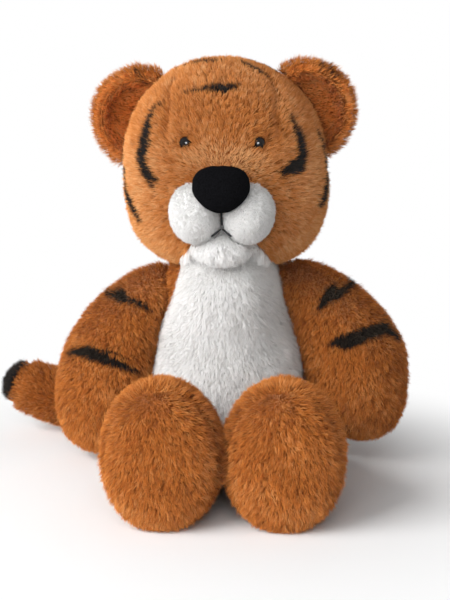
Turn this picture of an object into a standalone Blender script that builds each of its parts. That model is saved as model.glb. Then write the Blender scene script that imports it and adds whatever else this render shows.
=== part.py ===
"""Seated plush tiger: fur fabric covers, fibre filling, safety eyes, seat pellet bag and tail.

The toy sits on Z = 0 and faces -Y. Its own left side is at +X. The origin is on the flat of the
seat, in the middle plane. Lengths are in metres, angles in degrees where a name says so.
"""
import math

import bmesh
import bpy
from mathutils import Matrix, Vector

MM = 0.001

# Fits shared by all pieces
TOUCH_GAP = 0.3 * MM          # between two pieces that touch
COVER_THICKNESS = 3.0 * MM    # backing cloth and the dense foot of the pile
FILLING_CLEARANCE = 0.8 * MM  # between a cover and the filling that it holds
FLOOR_CUT = 0.5 * MM          # depth of the flat where a stuffed form meets the floor
CUT_OVERRUN = 60.0 * MM       # how far a cutter runs past what it cuts
MERGE_DISTANCE = 0.02 * MM    # points nearer than this are one point

# Torso, a pear shape that sits on its flat bottom
TORSO_HEIGHT = 170.0 * MM
TORSO_WIDTH = 112.0 * MM
TORSO_DEPTH = 102.0 * MM
# height, half width, half depth and forward shift, as shares of height, width, depth and depth
TORSO_STATION_SHARES = (
    (0.000, 0.240, 0.230, 0.00),
    (-0.001, 0.360, 0.350, 0.00),
    (0.060, 0.460, 0.450, 0.00),
    (0.230, 0.505, 0.505, 0.02),
    (0.420, 0.490, 0.500, 0.03),
    (0.600, 0.430, 0.450, 0.02),
    (0.770, 0.365, 0.400, 0.00),
    (0.890, 0.320, 0.340, 0.00),
    (1.000, 0.280, 0.300, 0.00),
)
TORSO_SIDES = 10

# White belly panel: height and half width of its seam, as shares of torso height and width
PANEL_OUTLINE_SHARES = (
    (0.070, 0.100),
    (0.120, 0.300),
    (0.250, 0.435),
    (0.420, 0.470),
    (0.580, 0.430),
    (0.720, 0.350),
    (0.850, 0.290),
    (1.000, 0.240),
)
PANEL_BACK_SHARE = -0.02      # how far behind the middle the panel's seam may reach

# Head, a ball with a fuller lower half
HEAD_HALF_WIDTH = 70.0 * MM
HEAD_HALF_DEPTH = 66.0 * MM
HEAD_HALF_HEIGHT = 71.0 * MM
HEAD_LOWER_HALF_HEIGHT = 72.0 * MM
HEAD_SINK = 26.0 * MM         # how far the head sits down into the top of the torso
HEAD_CENTRE_HEIGHT = TORSO_HEIGHT - HEAD_SINK + HEAD_LOWER_HALF_HEIGHT
HEAD_UPPER_POWER = 2.1
HEAD_LOWER_POWER = 3.3
HEAD_SEGMENTS = 20
HEAD_RINGS = 14
HEAD_FILLING_SEGMENTS = 16
HEAD_FILLING_RINGS = 10
HEAD_FILLING_CLEARANCE = 1.5 * MM
NECK_OPENING_RADIUS = 26.0 * MM
NECK_GAP = 0.4 * MM           # under the head, so that it can turn
NECK_SEGMENTS = 16

# Snout: the raised bridge that carries the nose
SNOUT_RISE = 9.0 * MM
SNOUT_DROP_DEG = 6.0
SNOUT_SPREAD_DEG = 24.0

# Eyes: a dome with a moulded shank, locked by a washer inside the head
EYE_RADIUS = 4.5 * MM
EYE_DOME = 3.6 * MM
EYE_SHANK_RADIUS = 2.0 * MM
EYE_SHANK_LENGTH = 11.0 * MM
EYE_SIDE_DEG = 23.0
EYE_RISE_DEG = 16.5
EYE_SEAT_DEPTH = 1.2 * MM
EYE_SOCKET_DEPTH = 3.0 * MM
EYE_SOCKET_SPREAD_DEG = 9.0
WASHER_RADIUS = 6.0 * MM
WASHER_THICKNESS = 1.5 * MM
ROUND_STEPS = 12
EYE_DOME_STEPS = 5

# Muzzle lobes, chin and nose
LOBE_HALF_WIDTH = 18.5 * MM
LOBE_HALF_DEPTH = 21.0 * MM
LOBE_HALF_HEIGHT = 21.5 * MM
LOBE_SIDE = 17.0 * MM
LOBE_FORWARD = HEAD_HALF_DEPTH
LOBE_DROP = 26.5 * MM
CHIN_HALF_WIDTH = 19.0 * MM
CHIN_HALF_DEPTH = 15.0 * MM
CHIN_HALF_HEIGHT = 11.0 * MM
CHIN_SETBACK = 6.0 * MM       # behind the middles of the lobes
CHIN_FORWARD = LOBE_FORWARD - CHIN_SETBACK
CHIN_DROP = 50.0 * MM
NOSE_HALF_WIDTH = 18.5 * MM
NOSE_HALF_DEPTH = 9.0 * MM
NOSE_HALF_HEIGHT = 14.5 * MM
NOSE_STANDOFF = 18.0 * MM     # in front of the middles of the lobes
NOSE_FORWARD = LOBE_FORWARD + NOSE_STANDOFF
NOSE_DROP = 8.5 * MM
NOSE_FOOT_TAPER_SHARE = 0.34  # how much of its width the nose loses from its middle down
NOSE_TOP_TAPER_SHARE = 0.11   # and from its middle up
NOSE_LEAN_DEG = 12.0
FACE_SEGMENTS = 14
FACE_RINGS = 10

# Stitched mouth: one stitch down from the nose, one bent stitch below it
STITCH_RADIUS = 0.7 * MM
PHILTRUM_TOP_DROP = 25.0 * MM
PHILTRUM_FOOT_DROP = 34.5 * MM
MOUTH_FOOT_DROP = 39.5 * MM
MOUTH_HALF_WIDTH = 6.5 * MM
MOUTH_POINT_SHARES = (-1.0, -0.5, 0.0, 0.5, 1.0)

# Ears: two bowls, one in the other, sewn on the sides of the head
EAR_RADIUS = 31.0 * MM
EAR_CUP_DEPTH = 11.0 * MM
EAR_BACK_THICKNESS = 6.0 * MM
EAR_LINING_THICKNESS = 5.0 * MM
EAR_LINING_MARGIN = 4.0 * MM
EAR_CUP_POWER = 2.5           # how late the bowl's wall turns forward
EAR_SEAT_DEG = {"left": 31.0, "right": 26.0}    # above the horizontal, seen from the front
EAR_SINK = 4.0 * MM
EAR_SEAT_RADIUS = HEAD_HALF_WIDTH - EAR_SINK    # from the head's centre to the ear's centre
EAR_BEHIND = 2.0 * MM
EAR_TURN_DEG = 14.0
EAR_SEGMENTS = 18
EAR_RINGS = 4

# Arms: reach and drop from the root to the end of the paw, largest width and depth
ARM_ROOT_SIDE = 26.0 * MM
ARM_ROOT_DROP = 34.0 * MM     # below the top of the torso
ARM_ROOT_HEIGHT = TORSO_HEIGHT - ARM_ROOT_DROP
ARM_REACH = 64.0 * MM
ARM_DROP_LEFT = 126.0 * MM
ARM_DROP_RIGHT = 131.0 * MM
ARM_DROP = {"left": ARM_DROP_LEFT, "right": ARM_DROP_RIGHT}
ARM_WIDTH = 67.0 * MM
ARM_DEPTH = 64.0 * MM
ARM_FORWARD = 6.0 * MM
# reach, drop, half width, half depth and forward shift, as shares of the five sizes above
ARM_STATION_SHARES = (
    (0.00, 0.00, 0.17, 0.18, 0.0),
    (0.38, 0.10, 0.27, 0.33, 0.3),
    (0.72, 0.30, 0.42, 0.45, 0.8),
    (0.93, 0.58, 0.51, 0.51, 1.0),
    (1.00, 0.84, 0.46, 0.45, 1.0),
    (1.00, 1.00, 0.22, 0.22, 1.0),
)
ARM_SIDES = 8
SHOULDER_AXIS_SIDE = 38.0 * MM
SHOULDER_AXIS_RISE = 10.0 * MM
SHOULDER_AXIS_HEIGHT = ARM_ROOT_HEIGHT + SHOULDER_AXIS_RISE
ARM_SPLAY_DEG = {"left": 5.5, "right": 0.0}

# Legs: from the root inside the torso forward to the sole
LEG_ROOT_SIDE = 30.0 * MM
LEG_ROOT_FORWARD = 30.0 * MM
LEG_LENGTH = 137.0 * MM
LEG_SPREAD_LEFT = 12.0 * MM
LEG_SPREAD_RIGHT = 6.0 * MM
LEG_SPREAD = {"left": LEG_SPREAD_LEFT, "right": LEG_SPREAD_RIGHT}
FOOT_WIDTH = 74.5 * MM
FOOT_HEIGHT = 95.0 * MM
# length, spread, half width, half height and lift off the floor, as shares of the leg's length
# and spread and of the foot's width, height and height
LEG_STATION_SHARES = (
    (0.00, 0.0, 0.33, 0.250, 0.050),
    (0.18, 0.3, 0.38, 0.290, 0.020),
    (0.42, 0.6, 0.41, 0.325, 0.010),
    (0.62, 0.8, 0.45, 0.400, 0.009),
    (0.80, 1.0, 0.50, 0.500, 0.009),
    (0.92, 1.0, 0.45, 0.460, 0.040),
    (1.00, 1.0, 0.26, 0.280, 0.220),
)
LEG_SIDES = 8
SOLE_SEAM_SHARE = 0.87        # of the leg's length, where the sole panel is sewn on
HIP_AXIS_FORWARD = TORSO_DEPTH / 2.0
HIP_AXIS_HEIGHT = 0.6 * FOOT_HEIGHT

# Tail: lies behind the seat, swept to the toy's right, tip raised
TAIL_REACH = 168.0 * MM
TAIL_BEHIND = 72.0 * MM
TAIL_THICKNESS = 41.0 * MM
# sideways reach, distance behind the middle, half thickness and lift off the floor, as shares of
# reach, behind, thickness and thickness
TAIL_STATION_SHARES = (
    (0.030, 0.42, 0.50, 0.06),
    (-0.010, 0.80, 0.51, 0.02),
    (-0.190, 1.02, 0.51, 0.02),
    (-0.470, 0.97, 0.51, 0.02),
    (-0.740, 0.83, 0.48, 0.10),
    (-0.910, 0.82, 0.42, 0.44),
    (-1.000, 0.83, 0.27, 0.75),
)
TAIL_SIDES = 8
TAIL_TIP_SHARE = 0.28         # of the last stretch between stations, where the black tip starts
TAIL_AXIS_SIDE = 23.0 * MM
TAIL_AXIS_BEHIND = 47.0 * MM

# Pellet bag that weights the seat
PELLET_BAG_WIDTH = 70.0 * MM
PELLET_BAG_DEPTH = 58.0 * MM
PELLET_BAG_HEIGHT = 20.0 * MM
BAG_RINGS = 6

ORANGE_PLUSH = ("orange_plush", (0.46, 0.17, 0.045), 0.95, 0.0)
WHITE_PLUSH = ("white_plush", (0.80, 0.79, 0.77), 0.95, 0.0)
BLACK_PLUSH = ("black_plush", (0.015, 0.012, 0.012), 0.95, 0.0)
NOSE_VELOUR = ("nose_velour", (0.008, 0.008, 0.010), 0.80, 0.0)
BLACK_THREAD = ("black_thread", (0.012, 0.012, 0.014), 0.60, 0.0)
EYE_PLASTIC = ("eye_plastic", (0.006, 0.005, 0.005), 0.06, 0.0)
WASHER_PLASTIC = ("washer_plastic", (0.72, 0.72, 0.70), 0.45, 0.0)
FIBRE_FILLING = ("fibre_filling", (0.88, 0.88, 0.86), 1.00, 0.0)
PELLET_CLOTH = ("pellet_cloth", (0.62, 0.60, 0.55), 0.90, 0.0)

SIDES = {"left": 1.0, "right": -1.0}
HEAD_CENTRE = Vector((0.0, 0.0, HEAD_CENTRE_HEIGHT))


def clear_scene():
    """Remove whatever the scene holds."""
    for obj in list(bpy.data.objects):
        bpy.data.objects.remove(obj)


def new_collection(name):
    """A collection linked to the scene."""
    collection = bpy.data.collections.new(name)
    bpy.context.scene.collection.children.link(collection)
    return collection


def material(finish):
    """A Principled material made once for each finish."""
    name, colour, roughness, metallic = finish
    found = bpy.data.materials.get(name)
    if found:
        return found
    made = bpy.data.materials.new(name)
    made.use_nodes = True
    shader = made.node_tree.nodes["Principled BSDF"]
    shader.inputs["Base Color"].default_value = (*colour, 1.0)
    shader.inputs["Roughness"].default_value = roughness
    shader.inputs["Metallic"].default_value = metallic
    return made


class Workshop:
    """Holds the two collections and adds pieces and cutters to them."""

    def __init__(self):
        self.parts = new_collection("plush_tiger")
        self.cutters = new_collection("cutters")

    def axis(self, name, place):
        """An empty on a joint's axis, the parent of what turns there."""
        empty = bpy.data.objects.new(name, None)
        empty.location = place
        self.parts.objects.link(empty)
        return empty

    def piece(self, name, mesh, finish, axis, place=Vector(), turn=None):
        """A named piece whose mesh is drawn about the world point place."""
        obj = bpy.data.objects.new(name, mesh)
        self.parts.objects.link(obj)
        mesh.materials.append(material(finish))
        set_down(obj, axis, place, turn)
        return obj

    def cutter(self, name, mesh, place=Vector(), turn=None):
        """A cutter, which is not part of the toy."""
        obj = bpy.data.objects.new(name, mesh)
        self.cutters.objects.link(obj)
        obj.hide_render = True
        obj.display_type = "WIRE"
        set_down(obj, None, place, turn)
        return obj


def set_down(obj, axis, place, turn):
    """Place an object at a world point, under its axis if it has one."""
    if axis:
        obj.parent = axis
        obj.location = place - axis.location
    else:
        obj.location = place
    if turn:
        obj.rotation_mode = "QUATERNION"
        obj.rotation_quaternion = turn


def boolean(obj, operation, cutter):
    """A Boolean that keeps the EXACT solver."""
    step = obj.modifiers.new(f"{operation.lower()} {cutter.name}", "BOOLEAN")
    step.operation = operation
    step.object = cutter
    return step


def cut(obj, *cutters):
    """Cut away each of the cutters."""
    for cutter in cutters:
        boolean(obj, "DIFFERENCE", cutter)
    return obj


def keep(obj, cutter):
    """Keep only what lies inside the cutter."""
    boolean(obj, "INTERSECT", cutter)
    return obj


def soften(obj, levels=1):
    """Subdivision Surface, the same in the viewport and in renders."""
    step = obj.modifiers.new("soft form", "SUBSURF")
    step.levels = levels
    step.render_levels = levels
    return obj


def finish_mesh(name, mesh_data, smooth=True):
    """Turn a bmesh into a mesh with its faces pointing out."""
    bmesh.ops.recalc_face_normals(mesh_data, faces=mesh_data.faces)
    mesh = bpy.data.meshes.new(name)
    mesh_data.to_mesh(mesh)
    mesh_data.free()
    if smooth:
        mesh.shade_smooth()
    return mesh


def sleeve(name, stations, across_axis, sides, grow=0.0):
    """Cage of a stuffed form, lofted through unlike oval sections.

    A station is (centre, half size along across_axis, half size square to it). The rings are
    drawn larger by what the subdivision takes off them, once round and once along the form.
    """
    corner = 1.0 / math.cos(math.pi / sides)
    swell = corner ** 2
    cage = bmesh.new()
    rings = []
    last = len(stations) - 1
    for index, (centre, across, upright) in enumerate(stations):
        ahead = stations[min(index + 1, last)][0] - stations[max(index - 1, 0)][0]
        ahead.normalize()
        first = (across_axis - ahead * across_axis.dot(ahead)).normalized()
        second = ahead.cross(first)
        ring = []
        for step in range(sides):
            angle = 2.0 * math.pi * step / sides
            out = first * across * math.cos(angle) + second * upright * math.sin(angle)
            ring.append(cage.verts.new(centre + out * swell))
        rings.append(ring)
    for near, far in zip(rings, rings[1:]):
        for step in range(sides):
            following = (step + 1) % sides
            cage.faces.new((near[step], near[following], far[following], far[step]))
    cage.faces.new(rings[0][::-1])
    cage.faces.new(rings[-1])
    bmesh.ops.recalc_face_normals(cage, faces=cage.faces)
    cage.normal_update()
    for vert, normal in [(vert, vert.normal.copy()) for vert in cage.verts]:
        vert.co += normal * grow * corner
    return finish_mesh(name, cage)


def shaped_ball(name, segments, rings, shape):
    """A UV sphere whose points are moved by shape, a function of the outward direction."""
    ball = bmesh.new()
    bmesh.ops.create_uvsphere(ball, u_segments=segments, v_segments=rings, radius=1.0)
    for vert in ball.verts:
        vert.co = shape(vert.co.normalized())
    bmesh.ops.triangulate(ball, faces=ball.faces, quad_method="FIXED")
    return finish_mesh(name, ball)


def oval_ball(name, half_sizes, segments=FACE_SEGMENTS, rings=FACE_RINGS, grow=0.0):
    """An ellipsoid of the given half sizes."""
    grown = [size + grow for size in half_sizes]

    def shape(out):
        return Vector(size * part for size, part in zip(grown, out))

    return shaped_ball(name, segments, rings, shape)


def block(name, size):
    """A box of the given size about its own middle."""
    box = bmesh.new()
    bmesh.ops.create_cube(box, size=1.0)
    bmesh.ops.scale(box, vec=size, verts=box.verts)
    return finish_mesh(name, box, smooth=False)


def rod(name, radius, low, high, steps=ROUND_STEPS):
    """A cylinder about its own Z from low to high."""
    bar = bmesh.new()
    bmesh.ops.create_cone(bar, cap_ends=True, segments=steps, radius1=radius, radius2=radius,
                          depth=high - low)
    bmesh.ops.translate(bar, vec=(0.0, 0.0, (high + low) / 2.0), verts=bar.verts)
    return finish_mesh(name, bar, smooth=False)


def direction(side_deg, rise_deg):
    """Unit vector from the head's centre, turned to the side and raised from straight ahead."""
    side, rise = math.radians(side_deg), math.radians(rise_deg)
    return Vector((math.sin(side) * math.cos(rise), -math.cos(side) * math.cos(rise),
                   math.sin(rise)))


def near_share(out, centre, spread_deg):
    """1 at the centre direction, falling smoothly to 0 past the spread."""
    return math.exp(-(out.angle(centre) / math.radians(spread_deg)) ** 2)


def head_radius(out, half_depth=HEAD_HALF_DEPTH, with_face=True):
    """Distance from the head's centre to its surface in a direction."""
    upper = out.z > 0.0
    power = HEAD_UPPER_POWER if upper else HEAD_LOWER_POWER
    half_height = HEAD_HALF_HEIGHT if upper else HEAD_LOWER_HALF_HEIGHT
    level = math.hypot(out.x / HEAD_HALF_WIDTH, out.y / half_depth)
    total = level ** power + abs(out.z / half_height) ** power
    radius = total ** (-1.0 / power)
    if with_face:
        radius += SNOUT_RISE * near_share(out, direction(0.0, -SNOUT_DROP_DEG), SNOUT_SPREAD_DEG)
        for sign in SIDES.values():
            eye = direction(sign * EYE_SIDE_DEG, EYE_RISE_DEG)
            radius -= EYE_SOCKET_DEPTH * near_share(out, eye, EYE_SOCKET_SPREAD_DEG)
    return radius


def head_ball(name, grow, segments=HEAD_SEGMENTS, rings=HEAD_RINGS, half_depth=HEAD_HALF_DEPTH,
              with_face=True):
    """The head's form about its own centre, its surface moved out by grow."""
    def shape(out):
        return out * (head_radius(out, half_depth, with_face) + grow)

    return shaped_ball(name, segments, rings, shape)


def torso_stations():
    """Oval sections of the torso from the seat up."""
    stations = []
    for height, half_width, half_depth, forward in TORSO_STATION_SHARES:
        centre = Vector((0.0, -forward * TORSO_DEPTH, height * TORSO_HEIGHT - FLOOR_CUT))
        stations.append((centre, half_width * TORSO_WIDTH, half_depth * TORSO_DEPTH))
    return stations


def torso_form(shop, name, grow):
    """The torso's form as a cutter, its surface moved out by grow."""
    mesh = sleeve(name, torso_stations(), Vector((1.0, 0.0, 0.0)), TORSO_SIDES, grow)
    return soften(shop.cutter(name, mesh))


def floor_cutter(shop):
    """What lies below the surface that the toy sits on, wider than the toy."""
    span = 2.0 * (LEG_LENGTH + TAIL_REACH)
    mesh = block("floor_cut", (span, span, CUT_OVERRUN))
    return shop.cutter("floor_cut", mesh, Vector((0.0, 0.0, -CUT_OVERRUN / 2.0)))


def grown_outline(points, gap):
    """A closed outline, drawn anticlockwise, with every side moved out by gap."""
    grown = []
    for index, point in enumerate(points):
        before = (point - points[index - 1]).normalized()
        after = (points[(index + 1) % len(points)] - point).normalized()
        first, second = Vector((before.y, -before.x)), Vector((after.y, -after.x))
        middle = (first + second).normalized()
        grown.append(point + middle * gap / middle.dot(first))
    return grown


def panel_cutter(shop, name, gap):
    """A prism through the front of the torso with the belly panel's outline."""
    right = [Vector((TORSO_WIDTH * half, TORSO_HEIGHT * height))
             for height, half in PANEL_OUTLINE_SHARES]
    left = [Vector((-point.x, point.y)) for point in reversed(right)]
    outline = grown_outline(right + left, gap)
    front = -TORSO_DEPTH
    back = PANEL_BACK_SHARE * TORSO_DEPTH + gap
    prism = bmesh.new()
    base = [prism.verts.new((point.x, front, point.y)) for point in outline]
    face = prism.faces.new(base)
    pulled = bmesh.ops.extrude_face_region(prism, geom=[face])
    moved = [item for item in pulled["geom"] if isinstance(item, bmesh.types.BMVert)]
    bmesh.ops.translate(prism, vec=(0.0, back - front, 0.0), verts=moved)
    return shop.cutter(name, finish_mesh(name, prism, smooth=False))


def build_torso(shop, floor, head_clearance):
    """Cover, belly panel, filling and seat pellet bag."""
    across = Vector((1.0, 0.0, 0.0))
    cavity = torso_form(shop, "torso_cavity", -COVER_THICKNESS)
    for name, finish in (("torso_cover", ORANGE_PLUSH), ("belly_panel", WHITE_PLUSH)):
        mesh = sleeve(name, torso_stations(), across, TORSO_SIDES)
        shell = soften(shop.piece(name, mesh, finish, None))
        cut(shell, cavity, head_clearance)
        if name == "torso_cover":
            cut(shell, panel_cutter(shop, "panel_hole", TOUCH_GAP), floor)
        else:
            keep(shell, panel_cutter(shop, "panel_keep", 0.0))

    bag_rest = COVER_THICKNESS + TOUCH_GAP
    bag_half = (PELLET_BAG_WIDTH / 2.0, PELLET_BAG_DEPTH / 2.0, PELLET_BAG_HEIGHT / 2.0)
    bag_place = Vector((0.0, 0.0, bag_rest + PELLET_BAG_HEIGHT / 2.0))
    bag_mesh = oval_ball("seat_pellet_bag", bag_half, ROUND_STEPS, BAG_RINGS)
    shop.piece("seat_pellet_bag", bag_mesh, PELLET_CLOTH, None, bag_place)
    room_mesh = oval_ball("pellet_bag_room", bag_half, ROUND_STEPS, BAG_RINGS, FILLING_CLEARANCE)
    bag_room = shop.cutter("pellet_bag_room", room_mesh, bag_place)
    under_bag = rod("under_bag", bag_half[1], -CUT_OVERRUN, 0.0)
    under = shop.cutter("under_bag", under_bag, bag_place)

    inset = -(COVER_THICKNESS + FILLING_CLEARANCE)
    mesh = sleeve("torso_filling", torso_stations(), across, TORSO_SIDES, inset)
    filling = soften(shop.piece("torso_filling", mesh, FIBRE_FILLING, None))
    cut(filling, head_clearance, bag_room, under)


def build_head(shop, axis):
    """Head cover with its neck opening, and the filling inside it."""
    cavity = shop.cutter("head_cavity", head_ball("head_cavity", -COVER_THICKNESS), HEAD_CENTRE)
    opening = shop.cutter("neck_opening", rod("neck_opening", NECK_OPENING_RADIUS,
                                              -HEAD_CENTRE_HEIGHT, -HEAD_HALF_HEIGHT / 2.0),
                          HEAD_CENTRE)
    cover = shop.piece("head_cover", head_ball("head_cover", 0.0), ORANGE_PLUSH, axis, HEAD_CENTRE)
    cut(cover, cavity, opening)

    inset = -(COVER_THICKNESS + HEAD_FILLING_CLEARANCE)
    filling_mesh = head_ball("head_filling", inset, HEAD_FILLING_SEGMENTS, HEAD_FILLING_RINGS)
    filling = shop.piece("head_filling", filling_mesh, FIBRE_FILLING, axis, HEAD_CENTRE)
    return cover, filling


def eye_profile_mesh(name):
    """Half section of the eye, from the top of its dome down to the end of its shank."""
    section = bmesh.new()
    points = []
    for step in range(EYE_DOME_STEPS + 1):
        angle = math.pi / 2.0 * step / EYE_DOME_STEPS
        points.append((EYE_RADIUS * math.sin(angle), EYE_DOME * math.cos(angle)))
    points += [(EYE_SHANK_RADIUS, 0.0), (EYE_SHANK_RADIUS, -EYE_SHANK_LENGTH),
               (0.0, -EYE_SHANK_LENGTH)]
    verts = [section.verts.new((across, 0.0, along)) for across, along in points]
    for first, second in zip(verts, verts[1:]):
        section.edges.new((first, second))
    mesh = bpy.data.meshes.new(name)
    section.to_mesh(mesh)
    section.free()
    return mesh


def spin(obj):
    """Turn a half section about its own Z."""
    step = obj.modifiers.new("turned", "SCREW")
    step.steps = ROUND_STEPS
    step.render_steps = ROUND_STEPS
    step.use_merge_vertices = True
    step.merge_threshold = MERGE_DISTANCE
    step.use_normal_calculate = False
    return obj


def build_eyes(shop, axis, cover, filling):
    """Domed eyes, each seated in the cover and locked by a washer behind it."""
    for side, sign in SIDES.items():
        out = direction(sign * EYE_SIDE_DEG, EYE_RISE_DEG)
        turn = out.to_track_quat("Z", "Y")
        seat = HEAD_CENTRE + out * (head_radius(out) - EYE_SEAT_DEPTH)
        inner_wall = HEAD_CENTRE + out * (head_radius(out) - COVER_THICKNESS)
        name = f"eye_{side}"
        spin(shop.piece(name, eye_profile_mesh(name), EYE_PLASTIC, axis, seat + out * TOUCH_GAP,
                        turn))

        recess = shop.cutter(f"eye_seat_{side}", rod(f"eye_seat_{side}", EYE_RADIUS + TOUCH_GAP,
                                                     0.0, CUT_OVERRUN), seat, turn)
        bore = shop.cutter(f"shank_hole_{side}", rod(f"shank_hole_{side}",
                                                     EYE_SHANK_RADIUS + TOUCH_GAP,
                                                     -COVER_THICKNESS * 2.0, CUT_OVERRUN),
                           seat, turn)
        cut(cover, recess, bore)

        sagitta = WASHER_RADIUS ** 2 / (2.0 * HEAD_HALF_DEPTH)
        face = inner_wall - out * (sagitta + TOUCH_GAP * 2.0)
        washer_mesh = rod(f"eye_washer_{side}", WASHER_RADIUS, -WASHER_THICKNESS, 0.0)
        washer = shop.piece(f"eye_washer_{side}", washer_mesh, WASHER_PLASTIC, axis, face, turn)
        cut(washer, bore_through(shop, side, face, turn))

        pocket_depth = EYE_SHANK_LENGTH + FILLING_CLEARANCE
        pocket = shop.cutter(f"eye_pocket_{side}", rod(f"eye_pocket_{side}",
                                                       WASHER_RADIUS + FILLING_CLEARANCE,
                                                       -pocket_depth, CUT_OVERRUN), seat, turn)
        cut(filling, pocket)


def bore_through(shop, side, place, turn):
    """The hole of a washer, with running clearance round the shank."""
    name = f"washer_hole_{side}"
    hole = rod(name, EYE_SHANK_RADIUS + TOUCH_GAP, -WASHER_THICKNESS * 2.0, WASHER_THICKNESS)
    return shop.cutter(name, hole, place, turn)


def stitch_tube(name, points, radius):
    """A thread laid through the points, as a closed tube."""
    path = bpy.data.curves.new(name, "CURVE")
    path.dimensions = "3D"
    path.bevel_depth = radius
    path.bevel_resolution = 2
    path.use_fill_caps = True
    spline = path.splines.new("POLY")
    spline.points.add(len(points) - 1)
    for place, point in zip(spline.points, points):
        place.co = (*point, 1.0)
    guide = bpy.data.objects.new(name, path)
    bpy.context.scene.collection.objects.link(guide)
    seen = guide.evaluated_get(bpy.context.evaluated_depsgraph_get())
    mesh = bpy.data.meshes.new_from_object(seen)
    bpy.data.objects.remove(guide)
    tube = bmesh.new()
    tube.from_mesh(mesh)
    bmesh.ops.remove_doubles(tube, verts=tube.verts, dist=MERGE_DISTANCE)
    bpy.data.meshes.remove(mesh)
    return finish_mesh(name, tube)


def lobe_front(drop, side=0.0):
    """How far forward the muzzle lobes' surface lies below the head's centre."""
    across = (side - LOBE_SIDE) / LOBE_HALF_WIDTH
    upright = (drop - LOBE_DROP) / LOBE_HALF_HEIGHT
    left_over = max(1.0 - across ** 2 - upright ** 2, 0.0)
    return LOBE_FORWARD + LOBE_HALF_DEPTH * math.sqrt(left_over)


def clear_of_head(point):
    """The point, moved out from the head's middle until a thread there lies on the cover."""
    out = (point - HEAD_CENTRE).normalized()
    least = head_radius(out) + STITCH_RADIUS + TOUCH_GAP
    return HEAD_CENTRE + out * max(least, (point - HEAD_CENTRE).length)


def mouth_points():
    """Places of the two mouth stitches, on the cleft between the lobes."""
    thread = STITCH_RADIUS
    clear = thread * 2.0 + TOUCH_GAP
    philtrum = [clear_of_head(Vector((0.0, -lobe_front(drop) - thread, HEAD_CENTRE_HEIGHT - drop)))
                for drop in (PHILTRUM_TOP_DROP, (PHILTRUM_TOP_DROP + PHILTRUM_FOOT_DROP) / 2.0,
                             PHILTRUM_FOOT_DROP)]
    mouth = []
    for share in MOUTH_POINT_SHARES:
        drop = PHILTRUM_FOOT_DROP + clear + (MOUTH_FOOT_DROP - PHILTRUM_FOOT_DROP) * abs(share)
        side = MOUTH_HALF_WIDTH * share
        front = lobe_front(drop, abs(side)) + thread / 2.0
        mouth.append(clear_of_head(Vector((side, -front, HEAD_CENTRE_HEIGHT - drop))))
    return philtrum, mouth


def nose_mesh(name, grow):
    """The nose, an oval pad that narrows to its foot, its surface moved out by grow."""
    def shape(out):
        taper = NOSE_FOOT_TAPER_SHARE if out.z < 0.0 else NOSE_TOP_TAPER_SHARE
        width = (NOSE_HALF_WIDTH + grow) * (1.0 - taper * abs(out.z))
        return Vector((width * out.x, (NOSE_HALF_DEPTH + grow) * out.y,
                       (NOSE_HALF_HEIGHT + grow) * out.z))

    return shaped_ball(name, FACE_SEGMENTS, FACE_RINGS, shape)


def build_muzzle(shop, axis):
    """Two white lobes, the chin under them, the nose above and the stitched mouth."""
    head_room = shop.cutter("muzzle_head_room", head_ball("muzzle_head_room", TOUCH_GAP),
                            HEAD_CENTRE)
    grooves = []
    for name, points in zip(("philtrum_stitch", "mouth_stitch"), mouth_points()):
        shop.piece(name, stitch_tube(name, points, STITCH_RADIUS), BLACK_THREAD, axis)
        ends = points[-1] - points[-2], points[0] - points[1]
        longer = [points[0] + ends[1].normalized() * STITCH_RADIUS, *points[1:-1],
                  points[-1] + ends[0].normalized() * STITCH_RADIUS]
        groove = stitch_tube(f"{name}_groove", longer, STITCH_RADIUS + TOUCH_GAP)
        grooves.append(shop.cutter(f"{name}_groove", groove))

    nose_place = HEAD_CENTRE + Vector((0.0, -NOSE_FORWARD, -NOSE_DROP))
    lean = Matrix.Rotation(math.radians(NOSE_LEAN_DEG), 3, "X").to_quaternion()
    nose = shop.piece("nose", nose_mesh("nose", 0.0), NOSE_VELOUR, axis, nose_place, lean)
    nose_room = shop.cutter("nose_room", nose_mesh("nose_room", TOUCH_GAP), nose_place, lean)
    cut(nose, head_room)

    lobe_half = (LOBE_HALF_WIDTH, LOBE_HALF_DEPTH, LOBE_HALF_HEIGHT)
    lobe_rooms = []
    for side, sign in SIDES.items():
        place = HEAD_CENTRE + Vector((sign * LOBE_SIDE, -LOBE_FORWARD, -LOBE_DROP))
        lobe = shop.piece(f"muzzle_{side}", oval_ball(f"muzzle_{side}", lobe_half), WHITE_PLUSH,
                          axis, place)
        half_space = block(f"middle_{side}", (CUT_OVERRUN, CUT_OVERRUN * 2.0, CUT_OVERRUN * 2.0))
        beyond = -sign * (CUT_OVERRUN - TOUCH_GAP) / 2.0
        middle = shop.cutter(f"middle_{side}", half_space,
                             Vector((beyond, place.y, place.z)))
        cut(lobe, head_room, middle, nose_room, *grooves)
        lobe_rooms.append(shop.cutter(f"lobe_room_{side}", oval_ball(
            f"lobe_room_{side}", lobe_half, grow=TOUCH_GAP), place))

    chin_half = (CHIN_HALF_WIDTH, CHIN_HALF_DEPTH, CHIN_HALF_HEIGHT)
    chin_place = HEAD_CENTRE + Vector((0.0, -CHIN_FORWARD, -CHIN_DROP))
    chin = shop.piece("chin", oval_ball("chin", chin_half), WHITE_PLUSH, axis, chin_place)
    cut(chin, head_room, *lobe_rooms, grooves[1])


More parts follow.
